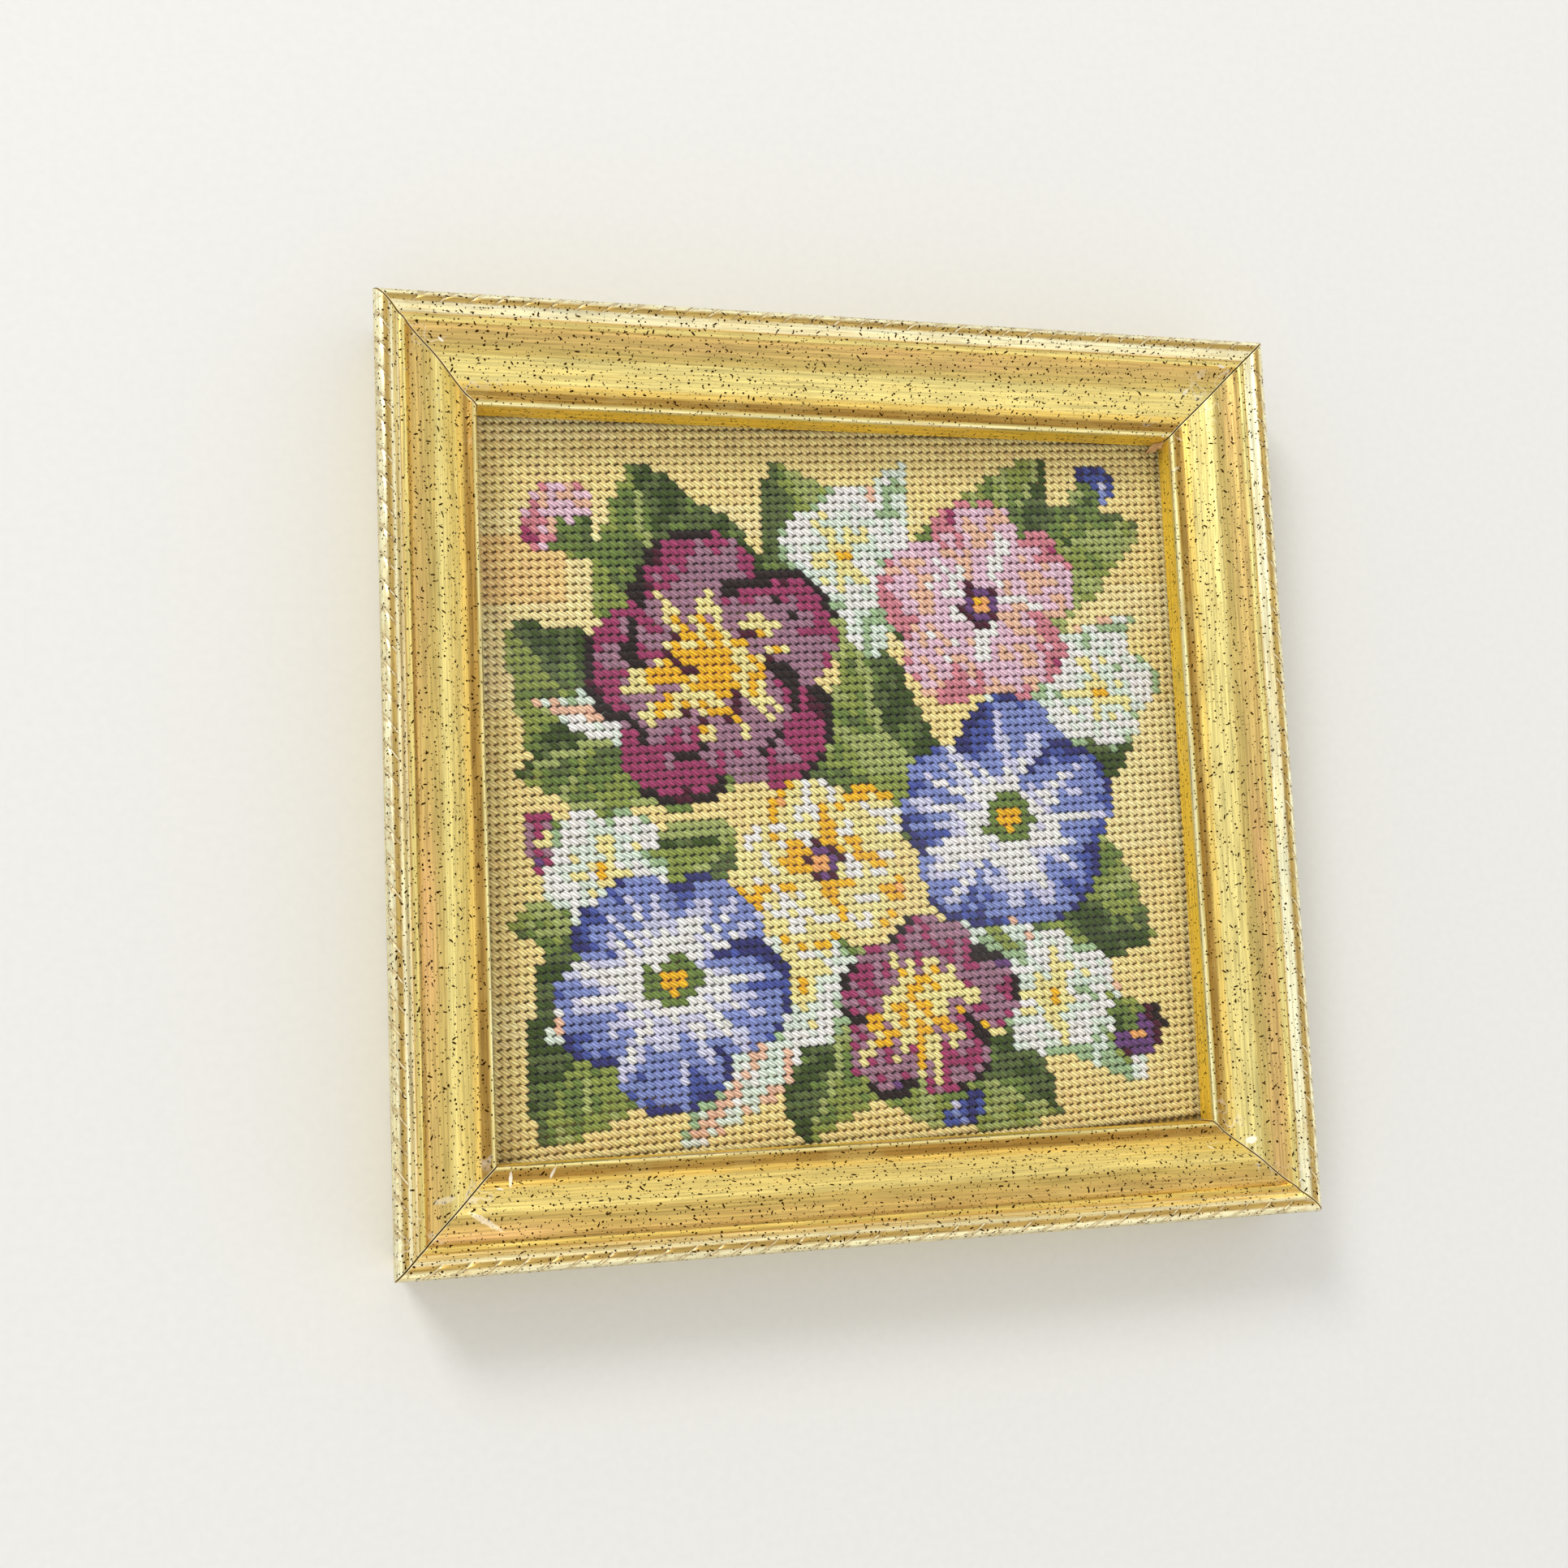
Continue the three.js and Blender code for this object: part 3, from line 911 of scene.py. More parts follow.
def notch_cut(near):
    """Depth of the rope's relief, 0 to 1, this far along the rail from a notch."""
    share = np.minimum(near / NOTCH_FAR, 1)
    groove = np.exp(-((share / NOTCH_GROOVE) ** 2))
    return GROOVE_SHARE * groove + (1 - GROOVE_SHARE) * (1 - share**2)


def rope_row(out, columns, settings):
    """A row along the rope: places along the rail, depths of the relief, distances to the nearest notch."""
    fine, near, strength = columns
    half = half_length(out)
    reach = half_length(ROPE_MIDDLE)
    fade = np.clip((reach - np.abs(fine)) / MITRE_BLEND, 0, 1)
    lean = settings.rope_lean * (out - ROPE_MIDDLE) / (ROPE_SPAN[1] - ROPE_SPAN[0])
    along = fine + np.sign(fine) * (half - reach) * (1 - fade) + lean * fade
    along[[0, -1]] = -half, half
    rising = (out - ROPE_FADE[0]) / (ROPE_FADE[1] - ROPE_FADE[0])
    across = np.clip(min(rising, ROPE_SPAN[1] + ROPE_OVERRUN - out), 0, 1)
    near_mitre = np.clip((half - np.abs(along)) / RELIEF_FADE, 0, 1)
    depth = settings.rope_depth * across * strength * notch_cut(near) * near_mitre
    return along, depth, near if across > 0 else np.full_like(near, NOTCH_FAR)


def plain_row(out):
    """The same for a row without relief."""
    along = np.linspace(-1, 1, PLAIN_COLUMNS + 1) * half_length(out)
    return along, np.zeros_like(along), np.full_like(along, NOTCH_FAR)


def strip_faces(row, following):
    """Faces between two rows of points, also where one row has more points than the other."""
    cells = min(len(row), len(following)) - 1
    here = (len(row) - 1) // cells
    there = (len(following) - 1) // cells
    faces = []
    for cell in range(cells):
        low = row[cell * here : (cell + 1) * here + 1]
        high = following[cell * there : (cell + 1) * there + 1]
        faces.append([*low, *high[::-1]])
    return faces


def rail_faces(rows, back_start):
    """The rail's faces, and for each its material: 0 for leaf and 1 for wood."""
    faces, kinds = [], []
    for index, row in enumerate(rows):
        faces += strip_faces(row, rows[(index + 1) % len(rows)])
        is_wood = back_start + 1 < index < len(rows) - 2
        kinds += [int(is_wood)] * (len(faces) - len(kinds))
    faces.append([row[0] for row in rows][::-1])
    faces.append([row[-1] for row in rows])
    return faces, kinds + [1, 1]


def rail_mesh(side, turn, number, settings, materials):
    """One mitred rail, swept along X and then turned to its side of the opening."""
    section, rope_start, back_start = moulding_section()
    lane = RAIL_LANE * number
    columns = rope_columns(settings, np.random.default_rng(10000 * number + 5))
    girth = np.concatenate([[0], np.cumsum(np.linalg.norm(np.diff(section, axis=0), axis=1))])
    slope = np.gradient(section, axis=0)
    slope /= np.linalg.norm(slope, axis=1)[:, None]
    points, places, outs, mitres, notch_distances, rows = [], [], [], [], [], []
    for index, (out, height) in enumerate(section):
        is_rope = rope_start <= index < back_start
        along, depth, near = rope_row(out, columns, settings) if is_rope else plain_row(out)
        y = out + slope[index][1] * depth
        z = height - slope[index][0] * depth
        rows.append(np.arange(len(along)) + sum(len(row) for row in rows))
        points.append(np.stack([along, SIGHT_HALF + y, z], axis=1))
        places.append(np.stack(np.broadcast_arrays(along + lane, girth[index], lane), axis=1))
        is_wall = index >= len(section) - 2
        outs.append(np.full_like(along, height - SIGHT_EDGE if is_wall else out))
        mitres.append(half_length(out) - np.abs(along))
        notch_distances.append(near)
    faces, kinds = rail_faces(rows, back_start)
    points = np.concatenate(points) * MM
    cos, sin = math.cos(turn), math.sin(turn)
    points[:, :2] = points[:, :2] @ np.array([[cos, sin], [-sin, cos]])
    piece = mesh_piece(f"gilt_rail_{side}", points, *face_rows(faces), materials)
    piece.data.polygons.foreach_set("material_index", kinds)
    piece.data.set_sharp_from_angle(angle=SHARP_ANGLE)
    write_attribute(piece, "rail_place", "FLOAT_VECTOR", np.concatenate(places) * MM)
    for name, values in {"rail_out": outs, "to_mitre": mitres, "to_notch": notch_distances}.items():
        write_attribute(piece, name, "FLOAT", np.concatenate(values) * MM)
    write_attribute(piece, "rail_painted_warmth", "FLOAT", np.full(len(points), RAIL_PAINTED_WARMTH[side]))
    return piece


def flake_mesh(material):
    """A flake of torn ground and leaf, hanging off the lip in one corner."""
    outline = np.array(TORN_FLAKE)
    count = len(outline)
    front = np.vstack([outline, outline.mean(axis=0) + FLAKE_CROWN])
    back = front - FLAKE_BACK
    below = count + 1
    faces = []
    for index in range(count):
        following = (index + 1) % count
        faces.append((index, following, count))
        faces.append((following + below, index + below, count + below))
        faces.append((index, index + below, following + below))
        faces.append((index, following + below, following))
    points = np.vstack([front, back]) * MM
    piece = mesh_piece("torn_flake", points, *face_rows(faces), [material], smooth=False)
    write_attribute(piece, "rail_place", "FLOAT_VECTOR", points)
    return piece


# ---------------------------------------------------------------- stitch chart


class Noise:
    """Smooth noise from -1 to 1 on a plane, the same on every run."""

    SIZE = 64

    def __init__(self, seed):
        self.table = np.random.default_rng(seed).uniform(-1, 1, (self.SIZE, self.SIZE))

    def __call__(self, x, y):
        x, y = np.broadcast_arrays(x, y)
        column, row = np.floor(x).astype(int), np.floor(y).astype(int)
        u, v = x - column, y - row
        u, v = u * u * (3 - 2 * u), v * v * (3 - 2 * v)

        def corner(i, j):
            return self.table[(column + i) % self.SIZE, (row + j) % self.SIZE]

        upper = corner(0, 0) * (1 - u) + corner(1, 0) * u
        lower = corner(0, 1) * (1 - u) + corner(1, 1) * u
        return upper * (1 - v) + lower * v


class Chart:
    """The picture, one yarn and one piece to a stitch; x runs right and y up from the bouquet's middle."""

    def __init__(self):
        places = np.arange(-CHART_HALF, CHART_HALF) + 0.5
        self.column, self.row = np.meshgrid(places, -places)
        self.x = (self.column - BOUQUET_SHIFT[0]) / BOUQUET_SCALE
        self.y = (self.row - BOUQUET_SHIFT[1]) / BOUQUET_SCALE
        cream, pale, warm = (YARN_ORDER.index(name) for name in ("cream", "pale_cream", "warm_cream"))
        lots = Noise(LOT_SEED)(self.column * 0.03, self.row * 0.16)  # a dye lot lasts for a few rows
        self.yarn = np.where(lots > 0.25, pale, cream)
        low, high = PATCH_ROWS
        patch = (self.column < PATCH_RIGHT) & (self.row > low) & (self.row < high)
        self.yarn[patch] = warm
        self.piece = np.where(self.row > 0, GROUND, GROUND_LOWER)

    def work(self, mask, shade, palette, piece):
        """Works the masked stitches in a palette or a single yarn; shade 0 to 1 picks from the palette."""
        yarns = PALETTES.get(palette, palette).split()
        pick = np.clip((shade * len(yarns)).astype(int), 0, len(yarns) - 1)
        numbers = np.array([YARN_ORDER.index(yarn) for yarn in yarns])
        self.yarn[mask] = numbers[pick][mask]
        self.piece[mask] = piece

    def leaf(self, base, tip, width, bend, palette, midrib, piece, seed):
        """A pointed leaf with a bowed midrib and slanting side veins, one side darker than the other."""
        noise = Noise(seed)
        length = math.dist(base, tip)
        ahead = ((tip[0] - base[0]) / length, (tip[1] - base[1]) / length)
        dx, dy = self.x - base[0], self.y - base[1]
        share = (dx * ahead[0] + dy * ahead[1]) / length
        inside = np.clip(share, 0, 1)
        side = dy * ahead[0] - dx * ahead[1] - bend * np.sin(inside * np.pi)
        half = width / 2 * np.sin(inside**0.85 * np.pi) ** 0.75
        half = half * (1 + 0.1 * noise(inside * 9, np.sign(side) * 3))
        spread = np.abs(side) / np.maximum(half, 1e-6)
        mask = (share > 0) & (share < 1) & (spread < 1)
        veins = noise((share * length - np.abs(side) * 0.9) * 0.6, np.sign(side) * 5)
        mottle = noise(self.x * 0.7, self.y * 0.7)
        shade = 0.42 + 0.3 * np.sign(side) * (0.4 + 0.6 * spread) + 0.26 * veins + 0.12 * mottle
        self.work(mask, np.clip(shade, 0, 0.999), palette, piece)
        self.work(mask & (np.abs(side) < 0.62) & (share < 0.93), share, midrib, piece)

    def petal(self, base, angle, length, width, palette, outline, piece, seed):
        """A round petal shaded from base to rim in streaks that run outwards."""
        noise = Noise(seed)
        dx, dy = self.x - base[0], self.y - base[1]
        along = (dx * math.cos(angle) + dy * math.sin(angle)) / length
        across = (dy * math.cos(angle) - dx * math.sin(angle)) / (width / 2)
        turn = np.arctan2(across * width / 2, along * length)
        ruffle = 1 + 0.1 * noise(turn * 5 + 20, 0)
        lobe = 0.62
        narrow = np.sin(np.clip(along / lobe, 0, 1) * np.pi / 2) ** 0.8
        round_end = np.sqrt(np.clip(1 - ((along - lobe) / (1 - lobe)) ** 2, 0, 1))
        belly = np.where(along < lobe, narrow, round_end) * ruffle
        spread = np.abs(across) / np.maximum(belly, 1e-6)
        mask = (along > 0) & (along < ruffle) & (spread < 1)
        streaks = noise(turn * 11 + 30, along * 1.5)
        outward = np.clip(along, 0, 1)
        shaded_side = np.clip(across / np.maximum(belly, 1e-6), -1, 1)
        shade = 0.56 * outward + 0.32 * spread**1.5 * outward**0.5 + 0.26 * streaks + 0.2 * shaded_side
        self.work(mask, np.clip(shade, 0, 0.999), palette, piece)
        if outline:
            rim = ((spread > 0.78) & (shaded_side > 0) & (along > 0.25)) | (along > 0.94)
            self.work(mask & rim & (streaks > -0.6), shade, outline, piece)

    def bud(self, stem_foot, foot, tip, palette, piece, seed):
        """A closed flower on its stem: three petals out of a green cup."""
        self.leaf(stem_foot, foot, 3.4, 2, "greens", "moss", GREEN, seed * 20)
        length = math.dist(foot, tip)
        angle = math.atan2(tip[1] - foot[1], tip[0] - foot[0])
        for number, (turn, share) in enumerate(((0.4, 0.92), (-0.4, 0.92), (0.0, 1.0))):
            reach = length * share
            self.petal(foot, angle + turn, reach, length * 0.6, palette, None, piece, seed * 20 + number)
        for turn in (0.75, -0.75, 0.0):
            ahead = (math.cos(angle + turn) * length * 0.5, math.sin(angle + turn) * length * 0.5)
            sepal_tip = (foot[0] + ahead[0], foot[1] + ahead[1])
            back = (foot[0] - ahead[0] * 0.5, foot[1] - ahead[1] * 0.5)
            self.leaf(back, sepal_tip, 2.6, 0.3, "greens", "leaf_green", GREEN, seed * 20 + 7)

    def bloom(self, centre, radius, petals, start, palette, heart, outline, piece, seed):
        """An open flower of overlapping petals."""
        noise = Noise(seed)
        for number in range(petals):
            angle = math.radians(start + 360 * number / petals)
            reach = radius * (1 + 0.08 * float(noise(number * 1.7, 3.3)))
            width = 4.5 * radius / max(petals, 4)
            self.petal(centre, angle, reach, width, palette, outline, piece, seed * 20 + number)
        if heart:
            distance = np.hypot(self.x - centre[0], self.y - centre[1]) / (radius * 0.2)
            ragged = distance + 0.25 * noise(self.x * 0.8, self.y * 0.8)
            self.work(ragged < 1, np.clip(distance, 0, 0.999), heart, piece)


def stitch_chart():
    """The whole picture: leaves first, then the blooms from the back to the front."""
    chart = Chart()
    for seed, leaf in enumerate(LEAVES, start=1):
        chart.leaf(*leaf, seed)
    for seed, bud in enumerate(BUDS, start=31):
        chart.bud(*bud, seed)
    for seed, bloom in enumerate(BLOOMS, start=41):
        chart.bloom(*bloom, seed)
    return chart


# ---------------------------------------------------------------- wool


def canvas_place(column, row, pitch):
    """Where a hole of the canvas lies, in millimetres; column and row count from the chart's middle."""
    x = CANVAS_SHIFT[0] + pitch * (column * math.cos(ROW_RISE) + row * math.sin(COLUMN_LEAN))
    y = CANVAS_SHIFT[1] + pitch * (column * math.sin(ROW_RISE) + row * math.cos(COLUMN_LEAN))
    return x, y


def stitch_centres(chart, settings, chosen):
    """Which of the chosen stitches lie in the opening or just under the lip, and their centres."""
    x, y = canvas_place(chart.column, chart.row, settings.pitch)
    reach = SIGHT_HALF + STITCH_MARGIN
    worked = chosen & (np.abs(x) < reach) & (np.abs(y) < reach)
    return worked, np.stack([x[worked], y[worked]], axis=1)


def yarn_table(colours):
    """Linear colours of the yarns, in the chart's order."""
    return np.array([linear(getattr(colours, name)) for name in YARN_ORDER])


def with_alpha(colour):
    """Colours with an alpha of one."""
    return np.concatenate([colour, np.ones((*colour.shape[:-1], 1))], axis=-1)


def wool_loops(centre, slant, length, width, height, level, sunk, rings, section):
    """Points of many stitches, each an arch of plied wool whose two ends dive into the canvas."""
    ahead = np.stack([np.cos(slant), np.sin(slant)], axis=1)
    share, rise, girth = (np.array(column)[None, :, None] for column in zip(*rings))
    sideways, upward = (np.array(column)[None, None, :] for column in zip(*section))
    wander = PLY_LEAN * (share - 0.5) * 2 * (1 - sideways**2) * (upward > 0)
    across = (sideways + wander) * girth * width[:, None, None] / 2
    up = upward * girth * height[:, None, None] / 2
    mid = sunk + (level - sunk) * rise + up
    run = (share - 0.5) * length[:, None, None] + END_SKEW * across
    side = np.stack([-ahead[:, 1], ahead[:, 0]], axis=1)
    flat = run[..., None] * ahead[:, None, None, :] + across[..., None] * side[:, None, None, :]
    flat += centre[:, None, None, :]
    body = np.concatenate([flat, mid[..., None]], axis=-1).reshape(len(centre), -1, 3)
    poles = []
    for end in (-0.5, 0.5):
        tip = centre + ahead * length[:, None] * end
        poles.append(np.concatenate([tip, np.full((len(centre), 1), sunk)], axis=1)[:, None])
    return np.concatenate([poles[0], body, poles[1]], axis=1)


def loop_faces(rings, sides):
    """Faces of a closed tube with pointed ends: first pole, rings, last pole."""
    last = 1 + rings * sides
    faces = []
    for side in range(sides):
        after = (side + 1) % sides
        faces.append((0, 1 + after, 1 + side))
        for ring in range(rings - 1):
            low = 1 + ring * sides
            high = low + sides
            faces.append((low + side, low + after, high + after, high + side))
        faces.append((last - sides + side, last - sides + after, last))
    return faces


def wool_piece(name, points, colour, rings, section, hand, material):
    """Many loops of wool joined into one piece that knows its colour and its place on the strand."""
    count, points_each, _ = points.shape
    corners, starts = face_rows(loop_faces(len(rings), len(section)))
    copy = np.arange(count)[:, None]
    all_corners = (corners + copy * points_each).ravel()
    all_starts = (starts + copy * len(corners)).ravel()
    piece = mesh_piece(name, points.reshape(-1, 3) * MM, all_corners, all_starts, [material])
    write_attribute(piece, "yarn", "FLOAT_COLOR", with_alpha(colour))
    body = [(sideways, share) for share, _, _ in rings for sideways, _ in section]
    template = np.array([(0.0, 0.0), *body, (0.0, 1.0)])
    spread = np.repeat(template[None], count, axis=0)
    own_number = np.repeat(hand.rng.uniform(0, 1, count)[:, None, None], points_each, axis=1)
    write_attribute(piece, "strand", "FLOAT_VECTOR", np.concatenate([spread, own_number], axis=-1))
    return piece


class Hand:
    """The small differences of handwork, drawn in order."""

    def __init__(self, number, spreads, settings):
        self.rng = np.random.default_rng(settings.seed * 100 + number)
        self.spreads = spreads
        self.unevenness = settings.unevenness

    def stray(self, kind, *shape):
        """How far each stitch strays in its place, slant or size."""
        return self.rng.normal(0, self.spreads[kind] * self.unevenness, shape)


def stitch_piece(number, chart, settings, colours, material):
    """All stitches of one motif, joined."""
    hand = Hand(number, STITCH_SPREADS, settings)
    worked, centre = stitch_centres(chart, settings, chart.piece == number)
    count = len(centre)
    centre = centre + hand.stray("place", count, 2)
    slant = STITCH_SLANT + hand.stray("slant", count)
    length = settings.pitch * math.sqrt(2) * (STITCH_REACH + hand.stray("length", count))
    width = settings.wool_width * (1 + hand.stray("width", count))
    swell = np.clip(hand.stray("height", count), -MOST_SWELL, MOST_SWELL)
    height = settings.wool_height * (1 + swell)
    face = float(CANVAS_HIGH[2])
    level = face - settings.wool_height * (1 + 2 * MOST_SWELL) / 2 - STITCH_CLEARANCE
    form = (STITCH_RINGS, STITCH_SECTION)
    points = wool_loops(centre, slant, length, width, height, level, STITCH_SINK, *form)
    dye = (1 + hand.stray("lightness", count, 1)) * (1 + hand.stray("hue", count, 3))
    base = yarn_table(colours)[chart.yarn[worked]] * dye
    # Painted shade: each stitch is darker and richer in colour towards its ends, where it dives into the
    # canvas between its neighbours.
    lift = (points[:, :, 2] - CANVAS_LEVEL) / (face - CANVAS_LEVEL)
    rise = np.repeat([ring[1] for ring in STITCH_RINGS], len(STITCH_SECTION))
    rise = np.concatenate([[0.0], rise, [0.0]])  # both ends lie low
    between, by_rise, by_lift = STITCH_SHADES
    shade = np.clip(between + by_rise * rise + by_lift * lift, DARKEST_SHADE, 1.0)[..., None]
    colour = np.clip(base[:, None, :], 0, 1) ** (2 - shade) * shade
    return wool_piece(PIECES[number], points, colour, *form, hand, material)


def reverse_piece(chart, settings, colours, material):
    """The long slanting stitches on the canvas's back."""
    hand = Hand(len(PIECES), BACK_SPREADS, settings)
    worked, centre = stitch_centres(chart, settings, np.full(chart.yarn.shape, True))
    count = len(centre)
    centre = centre + hand.stray("place", count, 2)
    slant = BACK_SLANT + hand.stray("slant", count)
    length = settings.pitch * (BACK_REACH + hand.stray("length", count))
    width = settings.pitch * (BACK_WIDTH + hand.stray("width", count))
    height = BACK_HEIGHT + hand.stray("height", count)
    level = float(CANVAS_LOW[2]) + BACK_LEVEL
    form = (BACK_RINGS, BACK_SECTION)
    points = wool_loops(centre, slant, length, width, height, level, BACK_SINK, *form)
    base = yarn_table(colours)[chart.yarn[worked]] * (1 + hand.stray("lightness", count, 1))
    colour = np.repeat(np.clip(base, 0, 1)[:, None], points.shape[1], axis=1)
    return wool_piece("wool_reverse", points, colour, *form, hand, material)


def canvas_piece(chart, settings, colours, material):
    """The canvas itself: a thin closed sheet, given a darkened, richer copy of the wool's colour where it is
    stitched, as painted shade in the holes between stitches.
    """
    cells = 2 * CHART_HALF
    side = cells + 1
    places = np.linspace(-CANVAS_SIDE / 2, CANVAS_SIDE / 2, side)
    x, y = (grid.ravel() for grid in np.meshgrid(places, places))
    top = np.stack([x, y, np.full_like(x, CANVAS_LEVEL + CANVAS_HALF_THICK)], axis=-1)
    under = top - np.array([0, 0, 2 * CANVAS_HALF_THICK])
    numbers = np.arange(side * side).reshape(side, side)
    cell = numbers[:-1, :-1].ravel()
    upper = np.stack([cell, cell + 1, cell + side + 1, cell + side], axis=1)
    lower = upper[:, ::-1] + side * side
    rim = np.concatenate([numbers[0], numbers[1:, -1], numbers[-1, -2::-1], numbers[-2:0:-1, 0]])
    following = np.roll(rim, -1)
    edge = np.stack([rim, rim + side * side, following + side * side, following], axis=1)
    corners, starts = face_rows(np.concatenate([upper, lower, edge]))
    points = np.vstack([top, under]) * MM
    piece = mesh_piece("canvas_cloth", points, corners, starts, [material], smooth=False)
    column = np.round((x - CANVAS_SHIFT[0]) / settings.pitch + CHART_HALF)
    row = np.round(CHART_HALF - (y - CANVAS_SHIFT[1]) / settings.pitch)
    row, column = (np.clip(number, 0, cells - 1).astype(int) for number in (row, column))
    # Painted shade: under the stitches the canvas takes a darker, richer copy of the wool's colour.
    power, share = HOLE_SHADE_OF_WOOL
    wool = yarn_table(colours)[chart.yarn[row, column]] ** power * share
    bare = np.maximum(np.abs(x), np.abs(y))[:, None] > SIGHT_HALF + STITCH_MARGIN - 1.0
    tint = with_alpha(np.where(bare, np.array(linear(BARE_CANVAS)), wool))
    write_attribute(piece, "canvas_tint_and_hole_shade", "FLOAT_COLOR", np.vstack([tint, tint]))
    return piece


# ---------------------------------------------------------------- stage


def key_light(power):
    """A soft square lamp that looks at the panel."""
    lamp = bpy.data.lights.new("key_light", "AREA")
    lamp.shape = "RECTANGLE"
    lamp.size = KEY_SIDE
    lamp.size_y = KEY_SIDE
    lamp.energy = power
    holder = bpy.data.objects.new("key_light", lamp)
    bpy.context.scene.collection.objects.link(holder)
    holder.location = KEY_PLACE
    x, y, z = KEY_PLACE
    holder.rotation_euler = (math.atan2(math.hypot(x, y), z), 0.0, math.atan2(y, x) + math.pi / 2)


def room_world(strength):
    """A pale room: brightest low down and towards its windows in front, a little dimmer overhead."""
    shader = Shader(bpy.data.worlds.new("pale_room"), "Background")
    direction = shader.node("TexCoord").outputs["Generated"]
    up = shader.node("SeparateXYZ", {0: direction}).outputs["Z"]
    overhead = shader.between(up, 0.1, 0.95, 1.26, 0.93)
    to_window = shader.node("VectorMath", {0: direction, 1: WINDOW}, operation="DOT_PRODUCT").outputs["Value"]
    side = shader.between(to_window, -0.8, 0.6, 0.92, 1.09)
    bpy.context.scene.world = shader.finish(Strength=shader.times(overhead, side, strength), Color=ROOM_TINT)


def studio_floor():
    """A wide sheet of matt off-white paper."""
    points = [(x * FLOOR_HALF, y * FLOOR_HALF, 0) for x, y in ((-1, -1), (1, -1), (1, 1), (-1, 1))]
    shader = new_material("studio_paper")
    tint = shader.ramp(shader.noise(shader.place(), 400.0), PAPER_TINTS)
    paper = shader.finish(Base_Color=tint, Roughness=0.95, Specular_IOR_Level=0.1)
    return mesh_piece("studio_floor", points, [0, 1, 2, 3], [0], [paper], smooth=False)


# ---------------------------------------------------------------- operators


class NEEDLEPOINT_OT_stage(bpy.types.Operator):
    """Set up the floor, the soft light and the camera"""

    bl_idname = "needlepoint.stage"
    bl_label = "Set Up Stage"

    def execute(self, context):
        settings = context.scene.needlepoint_stage
        studio_floor()
        room_world(settings.room_light)
        key_light(settings.key_power)
        camera = bpy.data.objects.new("camera", bpy.data.cameras.new("camera"))
        context.scene.collection.objects.link(camera)
        camera.location = settings.camera_place
        camera.rotation_euler = settings.camera_turn
        camera.data.lens = settings.lens
        camera.data.sensor_width = 36.0
        camera.data.shift_x, camera.data.shift_y = settings.shift
        camera.data.clip_start = 0.01
        context.scene.camera = camera
        context.scene.view_settings.view_transform = "Standard"
        return {"FINISHED"}


class NEEDLEPOINT_OT_rails(bpy.types.Operator):
    """Build the four mitred gilt rails and the torn flake in one corner"""

    bl_idname = "needlepoint.rails"
    bl_label = "Build Gilt Rails"

    def execute(self, context):
        settings = context.scene.needlepoint_rails
        materials = [gilt_material(settings), wood_material()]
        turns = {"top": 0.0, "left": math.pi / 2, "bottom": math.pi, "right": -math.pi / 2}
        for number, (side, turn) in enumerate(turns.items()):
            rail = rail_mesh(side, turn, number, settings, materials)
            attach(rail, "root")
            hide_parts(f"rail_{side}")
        flake = flake_mesh(materials[1])
        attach(flake, "root")
        return {"FINISHED"}


class NEEDLEPOINT_OT_glass(bpy.types.Operator):
    """Glaze the frame: the pane keeps its shape and gets clear glass"""

    bl_idname = "needlepoint.glass"
    bl_label = "Glaze the Frame"

    def execute(self, context):
        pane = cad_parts["glass_pane"]
        if not pane.material_slots:
            raise RuntimeError("the glass pane has no material slot")
        for place in pane.material_slots:
            place.material = glass_material()
        return {"FINISHED"}


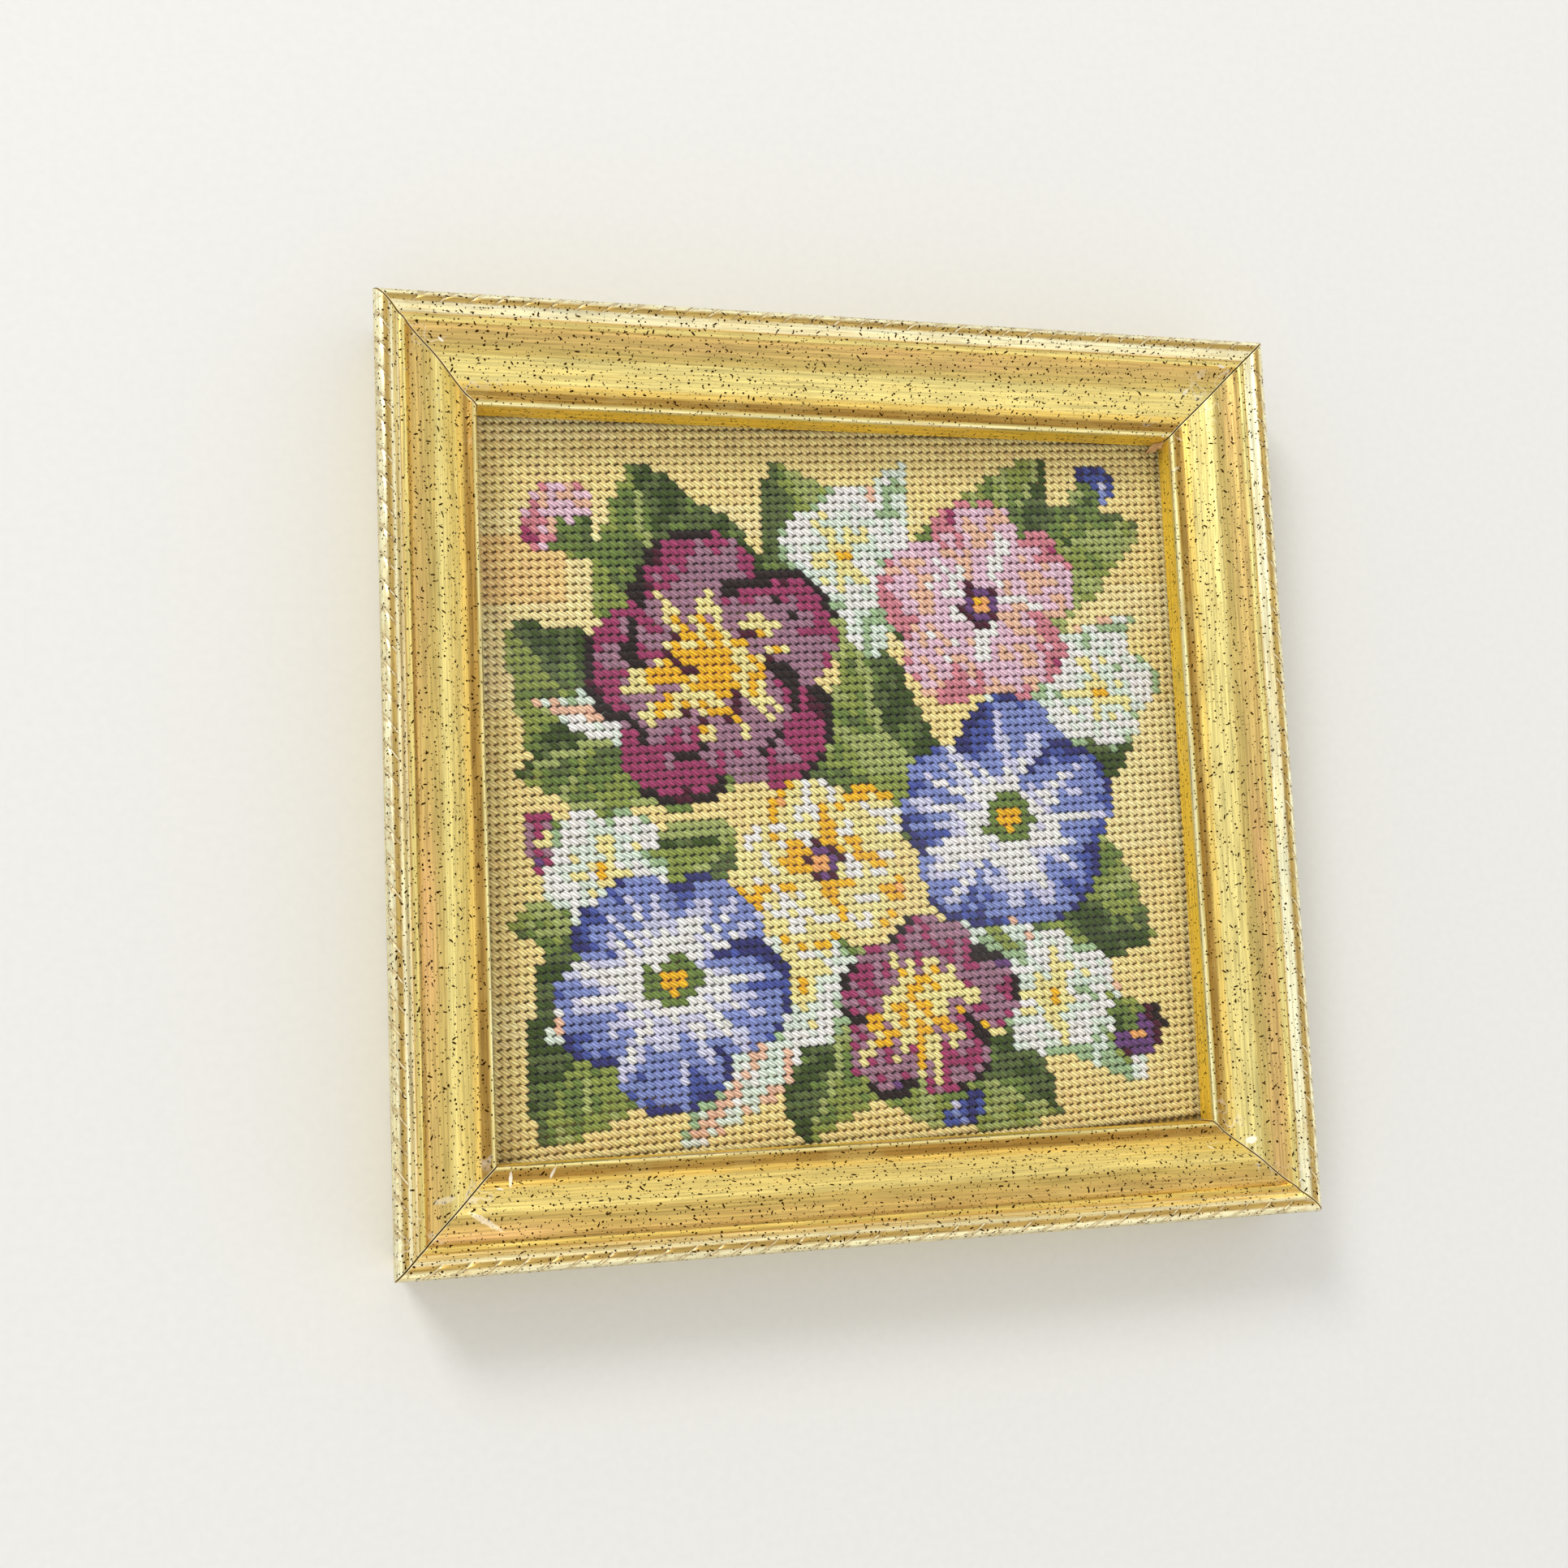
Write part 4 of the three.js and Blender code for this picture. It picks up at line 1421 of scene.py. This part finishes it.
class NEEDLEPOINT_OT_canvas(bpy.types.Operator):
    """Stretch the canvas and work every stitch of the picture on it"""

    bl_idname = "needlepoint.canvas"
    bl_label = "Stitch the Canvas"

    def execute(self, context):
        settings = context.scene.needlepoint_stitches
        colours = context.scene.needlepoint_yarns
        chart = stitch_chart()
        wool = wool_material()
        canvas = canvas_piece(chart, settings, colours, canvas_material(settings.pitch))
        stitches = [stitch_piece(number, chart, settings, colours, wool) for number in range(len(PIECES))]
        stitches.append(reverse_piece(chart, settings, colours, wool))
        for piece in (canvas, *stitches):
            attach(piece, "root")
        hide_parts("stitched_canvas")
        return {"FINISHED"}


class NEEDLEPOINT_PT_panel(bpy.types.Panel):
    """Sidebar panel with the settings and the steps in order"""

    bl_idname = "NEEDLEPOINT_PT_panel"
    bl_label = "Needlepoint Panel"
    bl_space_type = "VIEW_3D"
    bl_region_type = "UI"
    bl_category = "Needlepoint"

    def draw(self, context):
        scene = context.scene
        for operator, settings in (
            (NEEDLEPOINT_OT_stage, scene.needlepoint_stage),
            (NEEDLEPOINT_OT_rails, scene.needlepoint_rails),
            (NEEDLEPOINT_OT_glass, None),
            (NEEDLEPOINT_OT_canvas, scene.needlepoint_stitches),
        ):
            box = self.layout.box()
            box.operator(operator.bl_idname)
            for name in getattr(settings, "__annotations__", {}):
                box.prop(settings, name)
        yarns = self.layout.box()
        for name in YARN_ORDER:
            yarns.prop(scene.needlepoint_yarns, name)


SETTINGS = {
    "needlepoint_yarns": YarnColours,
    "needlepoint_stitches": StitchSettings,
    "needlepoint_rails": RailSettings,
    "needlepoint_stage": StageSettings,
}
TOOLS = (
    NEEDLEPOINT_OT_stage,
    NEEDLEPOINT_OT_rails,
    NEEDLEPOINT_OT_glass,
    NEEDLEPOINT_OT_canvas,
    NEEDLEPOINT_PT_panel,
)


def register():
    """Registers the settings, the operators and the panel."""
    for name, group in SETTINGS.items():
        bpy.utils.register_class(group)
        setattr(bpy.types.Scene, name, PointerProperty(type=group))
    for tool in TOOLS:
        bpy.utils.register_class(tool)


def unregister():
    """Takes them out again."""
    for tool in reversed(TOOLS):
        bpy.utils.unregister_class(tool)
    for name, group in reversed(SETTINGS.items()):
        delattr(bpy.types.Scene, name)
        bpy.utils.unregister_class(group)


def main():
    """Builds everything, in order."""
    register()
    bpy.ops.needlepoint.stage()
    bpy.ops.needlepoint.rails()
    bpy.ops.needlepoint.glass()
    bpy.ops.needlepoint.canvas()


if __name__ == "__main__":
    main()
